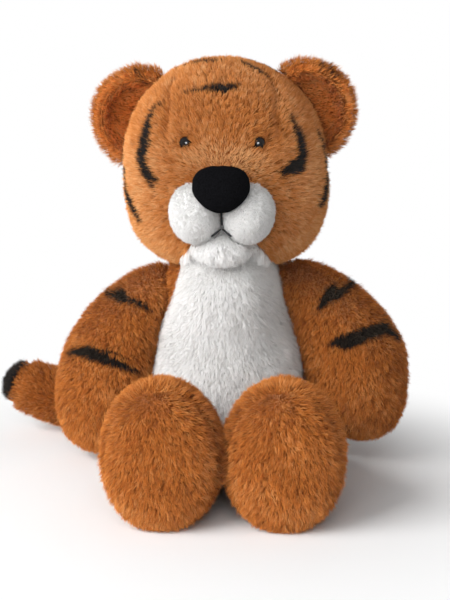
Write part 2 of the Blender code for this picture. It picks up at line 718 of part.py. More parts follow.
def bowl(name, radius, depth, behind):
    """A round open bowl whose rim is forward, at -Y, and whose middle is behind."""
    dish = bmesh.new()
    centre = dish.verts.new((0.0, behind + depth, 0.0))
    rings = []
    for ring in range(1, EAR_RINGS + 1):
        share = ring / EAR_RINGS
        reach = radius * math.sin(share * math.pi / 2.0)
        drop = depth * (1.0 - share ** EAR_CUP_POWER)
        rings.append([dish.verts.new((reach * math.cos(2.0 * math.pi * step / EAR_SEGMENTS),
                                      behind + drop,
                                      reach * math.sin(2.0 * math.pi * step / EAR_SEGMENTS)))
                      for step in range(EAR_SEGMENTS)])
    for step in range(EAR_SEGMENTS):
        following = (step + 1) % EAR_SEGMENTS
        dish.faces.new((centre, rings[0][following], rings[0][step]))
        for near, far in zip(rings, rings[1:]):
            dish.faces.new((near[step], near[following], far[following], far[step]))
    bmesh.ops.recalc_face_normals(dish, faces=dish.faces)
    dish.normal_update()
    if dish.faces[0].normal.y < 0.0:
        bmesh.ops.reverse_faces(dish, faces=dish.faces)
    mesh = bpy.data.meshes.new(name)
    dish.to_mesh(mesh)
    dish.free()
    mesh.shade_smooth()
    return mesh


def build_ears(shop, axis):
    """Two bowls a side, the lining in the back, sewn on where the head's side curves over."""
    head_room = shop.cutter("ear_head_room", head_ball("ear_head_room", TOUCH_GAP), HEAD_CENTRE)
    for side, sign in SIDES.items():
        seat = math.radians(EAR_SEAT_DEG[side])
        place = HEAD_CENTRE + Vector((sign * EAR_SEAT_RADIUS * math.cos(seat), EAR_BEHIND,
                                      EAR_SEAT_RADIUS * math.sin(seat)))
        turn = Matrix.Rotation(math.radians(sign * EAR_TURN_DEG), 3, "Z").to_quaternion()
        layers = {"back": (EAR_RADIUS, EAR_BACK_THICKNESS, 0.0),
                  "lining": (EAR_RADIUS - EAR_LINING_MARGIN, EAR_LINING_THICKNESS,
                             -EAR_LINING_THICKNESS - TOUCH_GAP)}
        for layer, (radius, thickness, behind) in layers.items():
            name = f"ear_{layer}_{side}"
            mesh = bowl(name, radius, EAR_CUP_DEPTH, behind)
            ear = shop.piece(name, mesh, ORANGE_PLUSH, axis, place, turn)
            wall = ear.modifiers.new("thickness", "SOLIDIFY")
            wall.thickness = thickness
            wall.offset = 1.0
            cut(ear, head_room)


def shoulder_pivot(sign):
    """Middle of the hinge line along the top of an arm's seam."""
    return Vector((sign * SHOULDER_AXIS_SIDE, 0.0, SHOULDER_AXIS_HEIGHT))


def arm_stations(side, sign):
    """Oval sections of an arm from its root to the end of the paw."""
    pivot = shoulder_pivot(sign)
    splay = Matrix.Rotation(math.radians(-sign * ARM_SPLAY_DEG[side]), 3, "Y")
    stations = []
    for reach, drop, half_width, half_depth, forward in ARM_STATION_SHARES:
        centre = Vector((sign * (ARM_ROOT_SIDE + reach * ARM_REACH), -forward * ARM_FORWARD,
                         ARM_ROOT_HEIGHT - drop * ARM_DROP[side]))
        centre = pivot + splay @ (centre - pivot)
        stations.append((centre, half_depth * ARM_DEPTH, half_width * ARM_WIDTH))
    return stations


def leg_stations(side, sign):
    """Oval sections of a leg from its root to the middle of the sole."""
    stations = []
    for length, spread, half_width, half_height, lift in LEG_STATION_SHARES:
        centre = Vector((sign * (LEG_ROOT_SIDE + spread * LEG_SPREAD[side]),
                         -LEG_ROOT_FORWARD - length * LEG_LENGTH,
                         (half_height + lift) * FOOT_HEIGHT - FLOOR_CUT))
        stations.append((centre, half_width * FOOT_WIDTH, half_height * FOOT_HEIGHT))
    return stations


def tail_stations():
    """Round sections of the tail from its root to its tip."""
    stations = []
    for reach, behind, half, lift in TAIL_STATION_SHARES:
        centre = Vector((reach * TAIL_REACH, behind * TAIL_BEHIND,
                         (half + lift) * TAIL_THICKNESS - FLOOR_CUT))
        stations.append((centre, half * TAIL_THICKNESS, half * TAIL_THICKNESS))
    return stations


def build_limb(shop, axis, stem, side, stations, across, sides, cuts):
    """Cover and filling of a limb, open where the limb is sewn to the torso."""
    suffix = f"_{side}" if side else ""
    name = f"{stem}_cover{suffix}"
    cavity_mesh = sleeve(f"{stem}_cavity{suffix}", stations, across, sides, -COVER_THICKNESS)
    cavity = soften(shop.cutter(f"{stem}_cavity{suffix}", cavity_mesh))
    cover = soften(shop.piece(name, sleeve(name, stations, across, sides), ORANGE_PLUSH, axis))
    cut(cover, cavity, *cuts)

    inset = -(COVER_THICKNESS + FILLING_CLEARANCE)
    name = f"{stem}_filling{suffix}"
    filling = soften(shop.piece(name, sleeve(name, stations, across, sides, inset),
                                FIBRE_FILLING, axis))
    cut(filling, *cuts)
    return cover, cavity


def end_panel(shop, axis, name, finish, stations, across, sides, cavity, cuts, seam, outward):
    """The closing panel of a limb, beyond a seam plane, and the cutter that leaves its place."""
    panel = soften(shop.piece(name, sleeve(name, stations, across, sides), finish, axis))
    cut(panel, cavity, *cuts)
    span = 4.0 * max(max(station[1:]) for station in stations)
    turn = outward.to_track_quat("Z", "Y")
    keeper = shop.cutter(f"{name}_keep", block(f"{name}_keep", (span, span, span)),
                         seam + outward * span / 2.0, turn)
    remover = shop.cutter(f"{name}_place", block(f"{name}_place", (span, span, span)),
                          seam + outward * (span / 2.0 - TOUCH_GAP), turn)
    keep(panel, keeper)
    return remover


def build_arms(shop, torso_room, head_room, floor):
    """Both arms, hinged along the top of their seams."""
    for side, sign in SIDES.items():
        axis = shop.axis(f"shoulder_axis_{side}", shoulder_pivot(sign))
        build_limb(shop, axis, "arm", side, arm_stations(side, sign), Vector((0.0, 1.0, 0.0)),
                   ARM_SIDES, (torso_room, head_room, floor))


def build_legs(shop, torso_room, floor):
    """Both legs with their sole panels, hinged along the top of their seams."""
    across = Vector((1.0, 0.0, 0.0))
    for side, sign in SIDES.items():
        hip = Vector((sign * LEG_ROOT_SIDE, -HIP_AXIS_FORWARD, HIP_AXIS_HEIGHT))
        axis = shop.axis(f"hip_axis_{side}", hip)
        stations = leg_stations(side, sign)
        cuts = (torso_room, floor)
        cover, cavity = build_limb(shop, axis, "leg", side, stations, across, LEG_SIDES, cuts)
        seam = Vector((sign * (LEG_ROOT_SIDE + LEG_SPREAD[side]),
                       -LEG_ROOT_FORWARD - SOLE_SEAM_SHARE * LEG_LENGTH, FOOT_HEIGHT / 2.0))
        place = end_panel(shop, axis, f"sole_panel_{side}", ORANGE_PLUSH, stations, across,
                          LEG_SIDES, cavity, (floor,), seam, Vector((0.0, -1.0, 0.0)))
        cut(cover, place)


def build_tail(shop, torso_room, floor):
    """The tail and its black tip, hinged along the side of its seam."""
    axis = shop.axis("tail_axis", Vector((TAIL_AXIS_SIDE, TAIL_AXIS_BEHIND, 0.0)))
    stations = tail_stations()
    across = Vector((0.0, 0.0, 1.0))
    cover, cavity = build_limb(shop, axis, "tail", "", stations, across, TAIL_SIDES,
                               (torso_room, floor))
    start, end = stations[-2][0], stations[-1][0]
    outward = (end - start).normalized()
    seam = start.lerp(end, TAIL_TIP_SHARE)
    place = end_panel(shop, axis, "tail_tip", BLACK_PLUSH, stations, across, TAIL_SIDES, cavity,
                      (), seam, outward)
    cut(cover, place)


def main():
    """Build the toy."""
    clear_scene()
    shop = Workshop()
    neck = Vector((0.0, 0.0, HEAD_CENTRE_HEIGHT - HEAD_LOWER_HALF_HEIGHT))
    neck_axis = shop.axis("neck_axis", neck)
    floor = floor_cutter(shop)
    round_head = head_ball("head_room", NECK_GAP, NECK_SEGMENTS, half_depth=HEAD_HALF_WIDTH,
                           with_face=False)
    head_room = shop.cutter("head_room", round_head, HEAD_CENTRE)
    torso_room = torso_form(shop, "torso_room", TOUCH_GAP)

    build_torso(shop, floor, head_room)
    cover, filling = build_head(shop, neck_axis)
    build_eyes(shop, neck_axis, cover, filling)
    build_muzzle(shop, neck_axis)
    build_ears(shop, neck_axis)
    build_arms(shop, torso_room, head_room, floor)
    build_legs(shop, torso_room, floor)
    build_tail(shop, torso_room, floor)


if __name__ == "__main__":
    main()
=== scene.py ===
"""Looks of a seated plush tiger, made round its packed construction.

Lengths are in metres. The toy sits on Z = 0 and faces -Y, and its own left side is at +X. Each
stuffed form is made from the filling that it holds, pressed out like a stuffed cover, and the pile
is grown on it as single strands.
"""

import logging
import math
from dataclasses import dataclass, field, replace
from enum import Enum
from typing import Callable, Optional, Sequence

import bpy
import numpy as np
from mathutils import Matrix, Vector, bvhtree, kdtree


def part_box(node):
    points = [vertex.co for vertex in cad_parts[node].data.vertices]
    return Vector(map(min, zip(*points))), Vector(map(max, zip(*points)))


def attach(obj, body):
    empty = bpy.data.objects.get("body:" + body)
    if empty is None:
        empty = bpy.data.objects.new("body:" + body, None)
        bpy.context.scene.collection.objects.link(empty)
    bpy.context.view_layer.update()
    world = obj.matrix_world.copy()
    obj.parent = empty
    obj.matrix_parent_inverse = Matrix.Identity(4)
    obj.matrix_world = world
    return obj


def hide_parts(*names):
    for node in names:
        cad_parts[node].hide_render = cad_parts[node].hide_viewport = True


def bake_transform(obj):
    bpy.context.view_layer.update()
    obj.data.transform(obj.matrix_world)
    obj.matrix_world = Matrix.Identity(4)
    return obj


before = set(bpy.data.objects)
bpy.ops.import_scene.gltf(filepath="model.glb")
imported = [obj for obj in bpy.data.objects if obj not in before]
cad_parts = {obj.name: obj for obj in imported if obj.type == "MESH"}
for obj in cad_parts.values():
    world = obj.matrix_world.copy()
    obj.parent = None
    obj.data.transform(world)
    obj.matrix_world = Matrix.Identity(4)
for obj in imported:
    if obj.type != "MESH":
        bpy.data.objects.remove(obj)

MM = 0.001
MERGE_DISTANCE = 0.02 * MM
STRAND_CLEARANCE = 0.3 * MM   # between the lowest strands and the floor
CLOTH_CLEARANCE = 0.6 * MM    # between the cloth and the floor
CLOTH = 1.4 * MM              # thickness of the backing cloth
SKIN_DEPTH = 4.0 * MM         # how far the cloth lies under the outline of the pile
HEAD_HEIGHT = 216.0 * MM      # of the head's middle
BLACK_SHADES = 0.14           # the shade of a strand dyed black lies below this
FIBRE_SHADES = 0.24           # the shade of any other strand lies from here, dark, to 1, pale
BLACK_CLOTH = 0.05            # shade of the cloth under a stripe
PLAIN_CLOTH = 0.6             # and of the other cloth
TINY = 1e-9                   # keeps a divisor from being zero
FAR = 1.0                     # a distance larger than the toy
LOG = logging.getLogger("plush_tiger")

Field = Callable[[np.ndarray, np.ndarray], np.ndarray]
Colour = tuple[float, float, float]


class Side(Enum):
    """The toy's own sides."""

    LEFT = "left"
    RIGHT = "right"

    @property
    def sign(self) -> float:
        """+1 on the toy's left, which is at +X, and -1 on its right."""
        return 1.0 if self is Side.LEFT else -1.0


# Small steps shared by all pieces


def select_only(obj: bpy.types.Object) -> bpy.types.Object:
    """Deselect everything and make one object selected and active.

    Args:
        obj: The object that the next operators act on.

    Returns:
        The same object.
    """
    bpy.ops.object.select_all(action="DESELECT")
    obj.select_set(True)
    bpy.context.view_layer.objects.active = obj
    return obj


def apply_modifiers(obj: bpy.types.Object) -> bpy.types.Object:
    """Apply every modifier of an object, in order.

    Args:
        obj: The object to settle.

    Returns:
        The same object, with no modifiers left.
    """
    select_only(obj)
    for step in list(obj.modifiers):
        bpy.ops.object.modifier_apply(modifier=step.name)
    return obj


def copy_of_node(name: str, *nodes: str) -> bpy.types.Object:
    """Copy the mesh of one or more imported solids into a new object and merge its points.

    Args:
        name: Name of the new object.
        nodes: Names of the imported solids.

    Returns:
        The new object, with no material.
    """
    copies = []
    for node in nodes:
        made = bpy.data.objects.new(name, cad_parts[node].data.copy())
        bpy.context.scene.collection.objects.link(made)
        copies.append(made)
    select_only(copies[0])
    for other in copies[1:]:
        other.select_set(True)
    if len(copies) > 1:
        bpy.ops.object.join()
    obj = bpy.context.view_layer.objects.active
    obj.name = name
    obj.data.name = name
    obj.data.materials.clear()
    bpy.ops.object.mode_set(mode="EDIT")
    bpy.ops.mesh.select_all(action="SELECT")
    bpy.ops.mesh.remove_doubles(threshold=MERGE_DISTANCE)
    bpy.ops.mesh.customdata_custom_splitnormals_clear()
    bpy.ops.object.mode_set(mode="OBJECT")
    return obj


def rows_of(items: bpy.types.bpy_prop_collection, label: str) -> np.ndarray:
    """Read a vector of each item of a mesh.

    Args:
        items: The mesh's points, the normals there or the faces.
        label: Name of the vector.

    Returns:
        The vectors, one row each.
    """
    values = np.empty(len(items) * 3, np.float32)
    items.foreach_get(label, values)
    return values.reshape(-1, 3).astype(float)


def points_of(mesh: bpy.types.Mesh) -> np.ndarray:
    """The places of a mesh's points, one row each."""
    return rows_of(mesh.vertices, "co")


def normals_of(mesh: bpy.types.Mesh) -> np.ndarray:
    """The outward directions at a mesh's points, one row each."""
    return rows_of(mesh.vertex_normals, "vector")


def face_middles(mesh: bpy.types.Mesh) -> np.ndarray:
    """The middle of each face, one row each."""
    return rows_of(mesh.polygons, "center")


def write_values(mesh: bpy.types.Mesh, label: str, values: np.ndarray) -> None:
    """Write a named attribute to a mesh's points.

    Args:
        mesh: The mesh.
        label: Name of the attribute.
        values: One value for each point.
    """
    made = mesh.attributes.get(label)
    if made is None:
        made = mesh.attributes.new(label, "FLOAT", "POINT")
    made.data.foreach_set("value", values.astype(np.float32))


def set_points(mesh: bpy.types.Mesh, places: np.ndarray) -> None:
    """Move a mesh's points.

    Args:
        mesh: The mesh to change.
        places: New places, one row for each point.
    """
    mesh.vertices.foreach_set("co", places.astype(np.float32).ravel())
    mesh.update()


def unit(vectors: np.ndarray) -> np.ndarray:
    """Each row scaled to length 1."""
    return vectors / np.maximum(np.linalg.norm(vectors, axis=-1, keepdims=True), TINY)


def from_run(places: np.ndarray, start: np.ndarray,
             end: np.ndarray) -> tuple[np.ndarray, np.ndarray]:
    """Distance from a straight run.

    Args:
        places: Places, one row each.
        start: Where the run starts.
        end: Where it ends.

    Returns:
        The distance of each place, and the share of the run at which it comes nearest.
    """
    run = end - start
    share = np.clip((places - start) @ run / (run @ run), 0.0, 1.0)
    return np.linalg.norm(places - start - share[:, None] * run, axis=1), share


def bell(values: np.ndarray, width: float) -> np.ndarray:
    """1 at zero, with a smooth fall to both sides."""
    return np.exp(-(values / width) ** 2)


def smooth_step(values: np.ndarray, low: float, high: float) -> np.ndarray:
    """0 below low, 1 above high and a smooth rise between them."""
    share = np.clip((values - low) / (high - low), 0.0, 1.0)
    return share * share * (3.0 - 2.0 * share)


@dataclass(frozen=True)
class Rise:
    """A smooth change from one value to another, between two distances."""

    first: float
    last: float
    start: float
    end: float

    def at(self, distances: np.ndarray) -> np.ndarray:
        """The value at each distance."""
        return self.first + (self.last - self.first) * smooth_step(distances, self.start,
                                                                   self.end)


@dataclass(frozen=True)
class Patch:
    """A soft oval on the front of the head, given by degrees and by its most value."""

    rise: float
    side_spread: float
    rise_spread: float
    most: float

    def at(self, side: np.ndarray, rise: np.ndarray) -> np.ndarray:
        """The value at each place.

        Args:
            side: Degrees sideways from straight ahead.
            rise: Degrees up from straight ahead.

        Returns:
            From the patch's most value at its middle down to 0.
        """
        return self.most * bell(side, self.side_spread) * bell(rise - self.rise,
                                                               self.rise_spread)


def drift(points: np.ndarray, scale: float, phase: float) -> np.ndarray:
    """A slow, even variation from -1 to 1 over a surface.

    Args:
        points: Places, one row each.
        scale: Rough distance over which it changes.
        phase: Number that makes one variation differ from another.

    Returns:
        One value for each place.
    """
    total = np.zeros(len(points))
    for step in range(5):
        turn = phase + 1.7 * step
        way = np.array([math.cos(turn), math.sin(1.3 * turn), math.cos(0.7 * turn + 1.0)])
        rate = (1.0 + 0.35 * step) * 2.0 * math.pi / (4.0 * scale)
        total += np.sin(points @ way * rate + 3.1 * turn)
    return np.clip(total / 3.0, -1.0, 1.0)


# Finishes


class NodeSheet:
    """Short ways to add shader nodes to one material."""

    def __init__(self, name: str) -> None:
        """Start an empty material.

        Args:
            name: Name of the material.
        """
        self.material = bpy.data.materials.new(name)
        self.material.use_nodes = True
        self.tree = self.material.node_tree
        self.tree.nodes.clear()

    def node(self, kind: str, **values: object) -> bpy.types.Node:
        """Add a node and set its properties.

        Args:
            kind: The node's type.
            values: Properties of the node, by name.

        Returns:
            The node.
        """
        made = self.tree.nodes.new(kind)
        for name, value in values.items():
            setattr(made, name, value)
        return made

    def join(self, output: bpy.types.NodeSocket, socket: bpy.types.NodeSocket) -> None:
        """Link an output to an input."""
        self.tree.links.new(output, socket)

    def attribute(self, name: str) -> bpy.types.NodeSocket:
        """Value of a named point attribute."""
        return self.node("ShaderNodeAttribute", attribute_name=name).outputs["Fac"]

    def ramp(self, value: bpy.types.NodeSocket,
             stops: Sequence[tuple[float, Colour]]) -> bpy.types.NodeSocket:
        """Turn a value into a colour.

        Args:
            value: The socket that drives the ramp.
            stops: Places and colours.

        Returns:
            The colour's socket.
        """
        made = self.node("ShaderNodeValToRGB")
        elements = made.color_ramp.elements
        while len(elements) < len(stops):
            elements.new(0.5)
        for element, (place, colour) in zip(elements, stops):
            element.position = place
            element.color = (*colour, 1.0)
        self.join(value, made.inputs["Fac"])
        return made.outputs["Color"]

    def noise(self, scale: float, detail: float = 3.0) -> bpy.types.NodeSocket:
        """Noise on the piece's own coordinates.

        Args:
            scale: How many times a metre it repeats, roughly.
            detail: Its number of finer layers.

        Returns:
            The value's socket.
        """
        place = self.node("ShaderNodeTexCoord").outputs["Object"]
        made = self.node("ShaderNodeTexNoise")
        made.inputs["Scale"].default_value = scale
        made.inputs["Detail"].default_value = detail
        self.join(place, made.inputs["Vector"])
        return made.outputs["Fac"]

    def multiply(self, first: bpy.types.NodeSocket,
                 second: bpy.types.NodeSocket) -> bpy.types.NodeSocket:
        """Product of two colours."""
        made = self.node("ShaderNodeMix", data_type="RGBA", blend_type="MULTIPLY")
        made.inputs["Factor"].default_value = 1.0
        self.join(first, made.inputs[6])
        self.join(second, made.inputs[7])
        return made.outputs[2]

    def bump(self, height: bpy.types.NodeSocket, strength: float,
             distance: float) -> bpy.types.NodeSocket:
        """A bump of a real depth.

        Args:
            height: The socket that gives the relief.
            strength: Its share, from 0 to 1.
            distance: Depth from lowest to highest.

        Returns:
            The normal's socket.
        """
        made = self.node("ShaderNodeBump")
        made.inputs["Strength"].default_value = strength
        made.inputs["Distance"].default_value = distance
        self.join(height, made.inputs["Height"])
        return made.outputs["Normal"]

    def principled(self, roughness: float,
                   **values: float | tuple[float, ...]) -> bpy.types.Node:
        """A Principled shader.

        Args:
            roughness: Its roughness.
            values: Other sockets by name, with _ for a space.

        Returns:
            The shader's node.
        """
        made = self.node("ShaderNodeBsdfPrincipled")
        made.inputs["Roughness"].default_value = roughness
        for name, value in values.items():
            made.inputs[name.replace("_", " ")].default_value = value
        return made

    def finish(self, shader: bpy.types.NodeSocket) -> bpy.types.Material:
        """Join a shader to the output and give the material."""
        out = self.node("ShaderNodeOutputMaterial")
        self.join(shader, out.inputs["Surface"])
        return self.material


def seen_white(tree: bpy.types.NodeTree) -> bpy.types.NodeSocket:
    """1 for rays from the camera and for mirrored and bent rays, else 0.

    Args:
        tree: Nodes of the floor's material or of the world.

    Returns:
        The value's socket.
    """
    path = tree.nodes.new("ShaderNodeLightPath")
    total = path.outputs["Is Camera Ray"]
    for ray in ("Is Glossy Ray", "Is Transmission Ray"):
        both = tree.nodes.new("ShaderNodeMath")
        both.operation = "ADD"
        both.use_clamp = True
        tree.links.new(total, both.inputs[0])
        tree.links.new(path.outputs[ray], both.inputs[1])
        total = both.outputs[0]
    return total


@dataclass(frozen=True)
class PileFinish:
    """Dyed fibre of a pile: its colour follows two attributes of the strands, with painted shade
    near the foot.
    """

    name: str
    stops: tuple[tuple[float, Colour], ...]
    # painted shade: how dark a strand is painted at its foot and at its middle
    foot_painted_shade: float = 0.40
    middle_painted_shade: float = 0.84
    translucence: float = 0.34
    roughness: float = 0.62
    specular: float = 0.2
    sheen: float = 0.24
    sheen_roughness: float = 0.45
    sheen_tint: Colour = (1.0, 0.78, 0.55)

    def material(self) -> bpy.types.Material:
        """The material for strands."""
        sheet = NodeSheet(self.name)
        dye = sheet.ramp(sheet.attribute("pile_shade"), self.stops)
        # painted shade: the dye is darkened from the tip down to the foot, for the pile's own shadow
        foot, middle = self.foot_painted_shade, self.middle_painted_shade
        root_shade = sheet.ramp(sheet.attribute("pile_along"),
                           ((0.0, (foot,) * 3), (0.5, (middle,) * 3), (1.0, (1.0,) * 3)))
        colour = sheet.multiply(dye, root_shade)
        gloss = sheet.principled(self.roughness, Specular_IOR_Level=self.specular,
                                 Sheen_Weight=self.sheen, Sheen_Roughness=self.sheen_roughness,
                                 Sheen_Tint=(*self.sheen_tint, 1.0))
        through = sheet.node("ShaderNodeBsdfTranslucent")
        both = sheet.node("ShaderNodeMixShader")
        both.inputs["Fac"].default_value = self.translucence
        sheet.join(colour, gloss.inputs["Base Color"])
        sheet.join(colour, through.inputs["Color"])
        sheet.join(gloss.outputs["BSDF"], both.inputs[1])
        sheet.join(through.outputs["BSDF"], both.inputs[2])
        return sheet.finish(both.outputs["Shader"])


@dataclass(frozen=True)
class BackingFinish:
    """Knitted backing cloth under the pile, dyed as the pile on it is, with painted shade in the
    knit's hollows.
    """

    name: str
    stops: tuple[tuple[float, Colour], ...]
    knit_per_metre: float = 900.0
    knit_relief: float = 0.4 * MM
    knit_share: float = 0.8
    painted_hollow_shade: float = 0.75
    roughness: float = 0.95
    specular: float = 0.1

    def material(self) -> bpy.types.Material:
        """The material for a cover's cloth."""
        sheet = NodeSheet(self.name)
        dye = sheet.ramp(sheet.attribute("pile_shade"), self.stops)
        knit = sheet.noise(self.knit_per_metre)
        # painted shade: the cloth is darker where the knit's bump is low
        hollow_shade = sheet.ramp(knit, ((0.3, (self.painted_hollow_shade,) * 3), (0.7, (1.0,) * 3)))
        shader = sheet.principled(self.roughness, Specular_IOR_Level=self.specular)
        sheet.join(sheet.multiply(dye, hollow_shade), shader.inputs["Base Color"])
        sheet.join(sheet.bump(knit, self.knit_share, self.knit_relief), shader.inputs["Normal"])
        return sheet.finish(shader.outputs["BSDF"])


@dataclass(frozen=True)
class PlainFinish:
    """A finish with fine grain: velour, thread, moulded plastic, fibre or cloth."""

    name: str
    dark: Colour
    light: Colour
    grain_per_metre: float
    relief: float
    roughness: float
    specular: float = 0.5
    sheen: float = 0.0
    coat: float = 0.0

    def material(self) -> bpy.types.Material:
        """The material."""
        sheet = NodeSheet(self.name)
        grain = sheet.noise(self.grain_per_metre, 4.0)
        colour = sheet.ramp(grain, ((0.3, self.dark), (0.7, self.light)))
        shader = sheet.principled(self.roughness, Specular_IOR_Level=self.specular,
                                  Sheen_Weight=self.sheen, Sheen_Roughness=0.35,
                                  Coat_Weight=self.coat, Coat_Roughness=0.03)
        sheet.join(colour, shader.inputs["Base Color"])
        sheet.join(sheet.bump(grain, 1.0, self.relief), shader.inputs["Normal"])
        return sheet.finish(shader.outputs["BSDF"])


# On the ramps, shades up to 0.13 are dyed black and those from 0.24 go from dark to pale fibre
BLACK_DYE = ((0.00, (0.008, 0.007, 0.007)), (0.13, (0.022, 0.017, 0.014)))
ORANGE_STOPS = (
    *BLACK_DYE,
    (0.18, (0.200, 0.064, 0.014)),
    (0.24, (0.440, 0.138, 0.026)),
    (0.60, (0.650, 0.224, 0.038)),
    (1.00, (0.840, 0.415, 0.135)),
)
# painted light: the head's orange is a paler, less saturated copy of the body's dye, for its fibre
# tips catching more light
LIT_HEAD_STOPS = (
    *BLACK_DYE,
    (0.18, (0.220, 0.078, 0.020)),
    (0.24, (0.470, 0.160, 0.036)),
    (0.60, (0.700, 0.276, 0.066)),
    (1.00, (0.880, 0.510, 0.225)),
)
MUZZLE_STOPS = (
    (0.00, (0.62, 0.61, 0.59)),
    (0.24, (0.76, 0.755, 0.745)),
    (0.60, (0.83, 0.827, 0.82)),
    (1.00, (0.88, 0.879, 0.876)),
)
LINING_STOPS = (
    *BLACK_DYE,
    (0.18, (0.180, 0.055, 0.012)),
    (0.24, (0.560, 0.155, 0.024)),
    (0.60, (0.840, 0.290, 0.056)),
    (1.00, (0.920, 0.480, 0.170)),
)
WHITE_STOPS = (
    (0.00, (0.70, 0.68, 0.655)),
    (0.24, (0.86, 0.85, 0.835)),
    (0.60, (0.915, 0.912, 0.905)),
    (1.00, (0.94, 0.94, 0.938)),
)
# painted shade: the orange cloth is about half as bright as the fibre, so gaps between strands read
# as the pile's dark depth
ORANGE_BACKING_PAINTED_SHADE_STOPS = (
    (0.00, (0.008, 0.007, 0.007)),
    (0.15, (0.020, 0.014, 0.011)),
    (0.24, (0.260, 0.080, 0.018)),
    (1.00, (0.380, 0.125, 0.030)),
)
BACKING_WHITE_STOPS = ((0.00, (0.80, 0.79, 0.77)), (1.00, (0.93, 0.92, 0.91)))

ORANGE_PILE = PileFinish("orange_pile", ORANGE_STOPS)
LIT_HEAD_PILE = PileFinish("head_pile", LIT_HEAD_STOPS)
LINING_PILE = PileFinish("ear_lining_pile", LINING_STOPS)
WHITE_PILE = PileFinish("white_pile", WHITE_STOPS, foot_painted_shade=0.90, middle_painted_shade=0.97,
                        translucence=0.45, sheen=0.1, sheen_tint=(1.0, 1.0, 1.0))
MUZZLE_PILE = replace(WHITE_PILE, name="muzzle_pile", stops=MUZZLE_STOPS)
ORANGE_BACKING = BackingFinish("orange_backing", ORANGE_BACKING_PAINTED_SHADE_STOPS)
WHITE_BACKING = BackingFinish("white_backing", BACKING_WHITE_STOPS)
NOSE_VELOUR = PlainFinish("nose_velour", (0.0010, 0.0010, 0.0012), (0.0045, 0.0045, 0.0055), 1100.0,
                          0.35 * MM, 0.9, specular=0.03)
THREAD = PlainFinish("black_thread", (0.006, 0.006, 0.007), (0.02, 0.02, 0.023), 2500.0,
                     0.1 * MM, 0.6, specular=0.3, sheen=0.2)
EYE_PLASTIC = PlainFinish("eye_plastic", (0.004, 0.003, 0.003), (0.007, 0.005, 0.005), 300.0,
                          0.002 * MM, 0.02, specular=0.2)
WASHER_PLASTIC = PlainFinish("washer_plastic", (0.66, 0.66, 0.64), (0.74, 0.74, 0.72), 400.0,
                             0.03 * MM, 0.42)
FIBRE = PlainFinish("fibre_filling", (0.66, 0.66, 0.64), (0.90, 0.90, 0.88), 260.0, 1.2 * MM, 1.0,
                    specular=0.1)
BAG_CLOTH = PlainFinish("pellet_bag_cloth", (0.50, 0.48, 0.43), (0.66, 0.64, 0.59), 900.0,
                        0.3 * MM, 0.9, specular=0.1)


# Dyed stripes


@dataclass(frozen=True)
class Stroke:
    """A brushed stripe: places in two numbers each, with the half width there in millimetres."""

    points: tuple[tuple[float, float, float], ...]

    def cover(self, places: np.ndarray,
              to_space: Callable[[np.ndarray], np.ndarray] = lambda two: two * MM,
              edge: float = 2.0 * MM) -> np.ndarray:
        """How far the stripe covers each place.

        Args:
            places: Places in the stripe's own space, one row each.
            to_space: Turns the stroke's first two numbers into that space.
            edge: How far the dye has strayed to both sides of the stripe's edge.

        Returns:
            From 1 where dyed to 0 where not.
        """
        table = np.array(self.points)
        line = to_space(table[:, :2])
        half = table[:, 2] * MM
        dyed = np.zeros(len(places))
        for start, end, first, last in zip(line, line[1:], half, half[1:]):
            away, share = from_run(places, start, end)
            width = first + (last - first) * share
            dyed = np.maximum(dyed, 1.0 - smooth_step(away - width, -edge, edge))
        return dyed


def cover_of(strokes: Sequence[Stroke], places: np.ndarray,
             **ways: Callable[[np.ndarray], np.ndarray]) -> np.ndarray:
    """How far any of some stripes covers each place.

    Args:
        strokes: The stripes.
        places: Places in the stripes' own space, one row each.
        ways: What Stroke.cover is given besides.

    Returns:
        From 1 where dyed to 0 where not.
    """
    black = np.zeros(len(places))
    for stroke in strokes:
        black = np.maximum(black, stroke.cover(places, **ways))
    return black


# Stuffed forms


def even_out(obj: bpy.types.Object, voxel: float, rounds: int) -> None:
    """Give a form even faces and soften its edges.

    Args:
        obj: A closed form.
        voxel: Size of its new faces.
        rounds: How many times it is softened.
    """
    even = obj.modifiers.new("even mesh", "REMESH")
    even.mode = "VOXEL"
    even.voxel_size = voxel
    even.use_smooth_shade = True
    soft = obj.modifiers.new("soft", "SMOOTH")
    soft.iterations = rounds
    soft.factor = 0.5
    apply_modifiers(obj)


def refine(obj: bpy.types.Object) -> None:
    """Split every face of a form once, rounded."""
    fine = obj.modifiers.new("fine", "SUBSURF")
    fine.levels = 1
    fine.render_levels = 1
    apply_modifiers(obj)


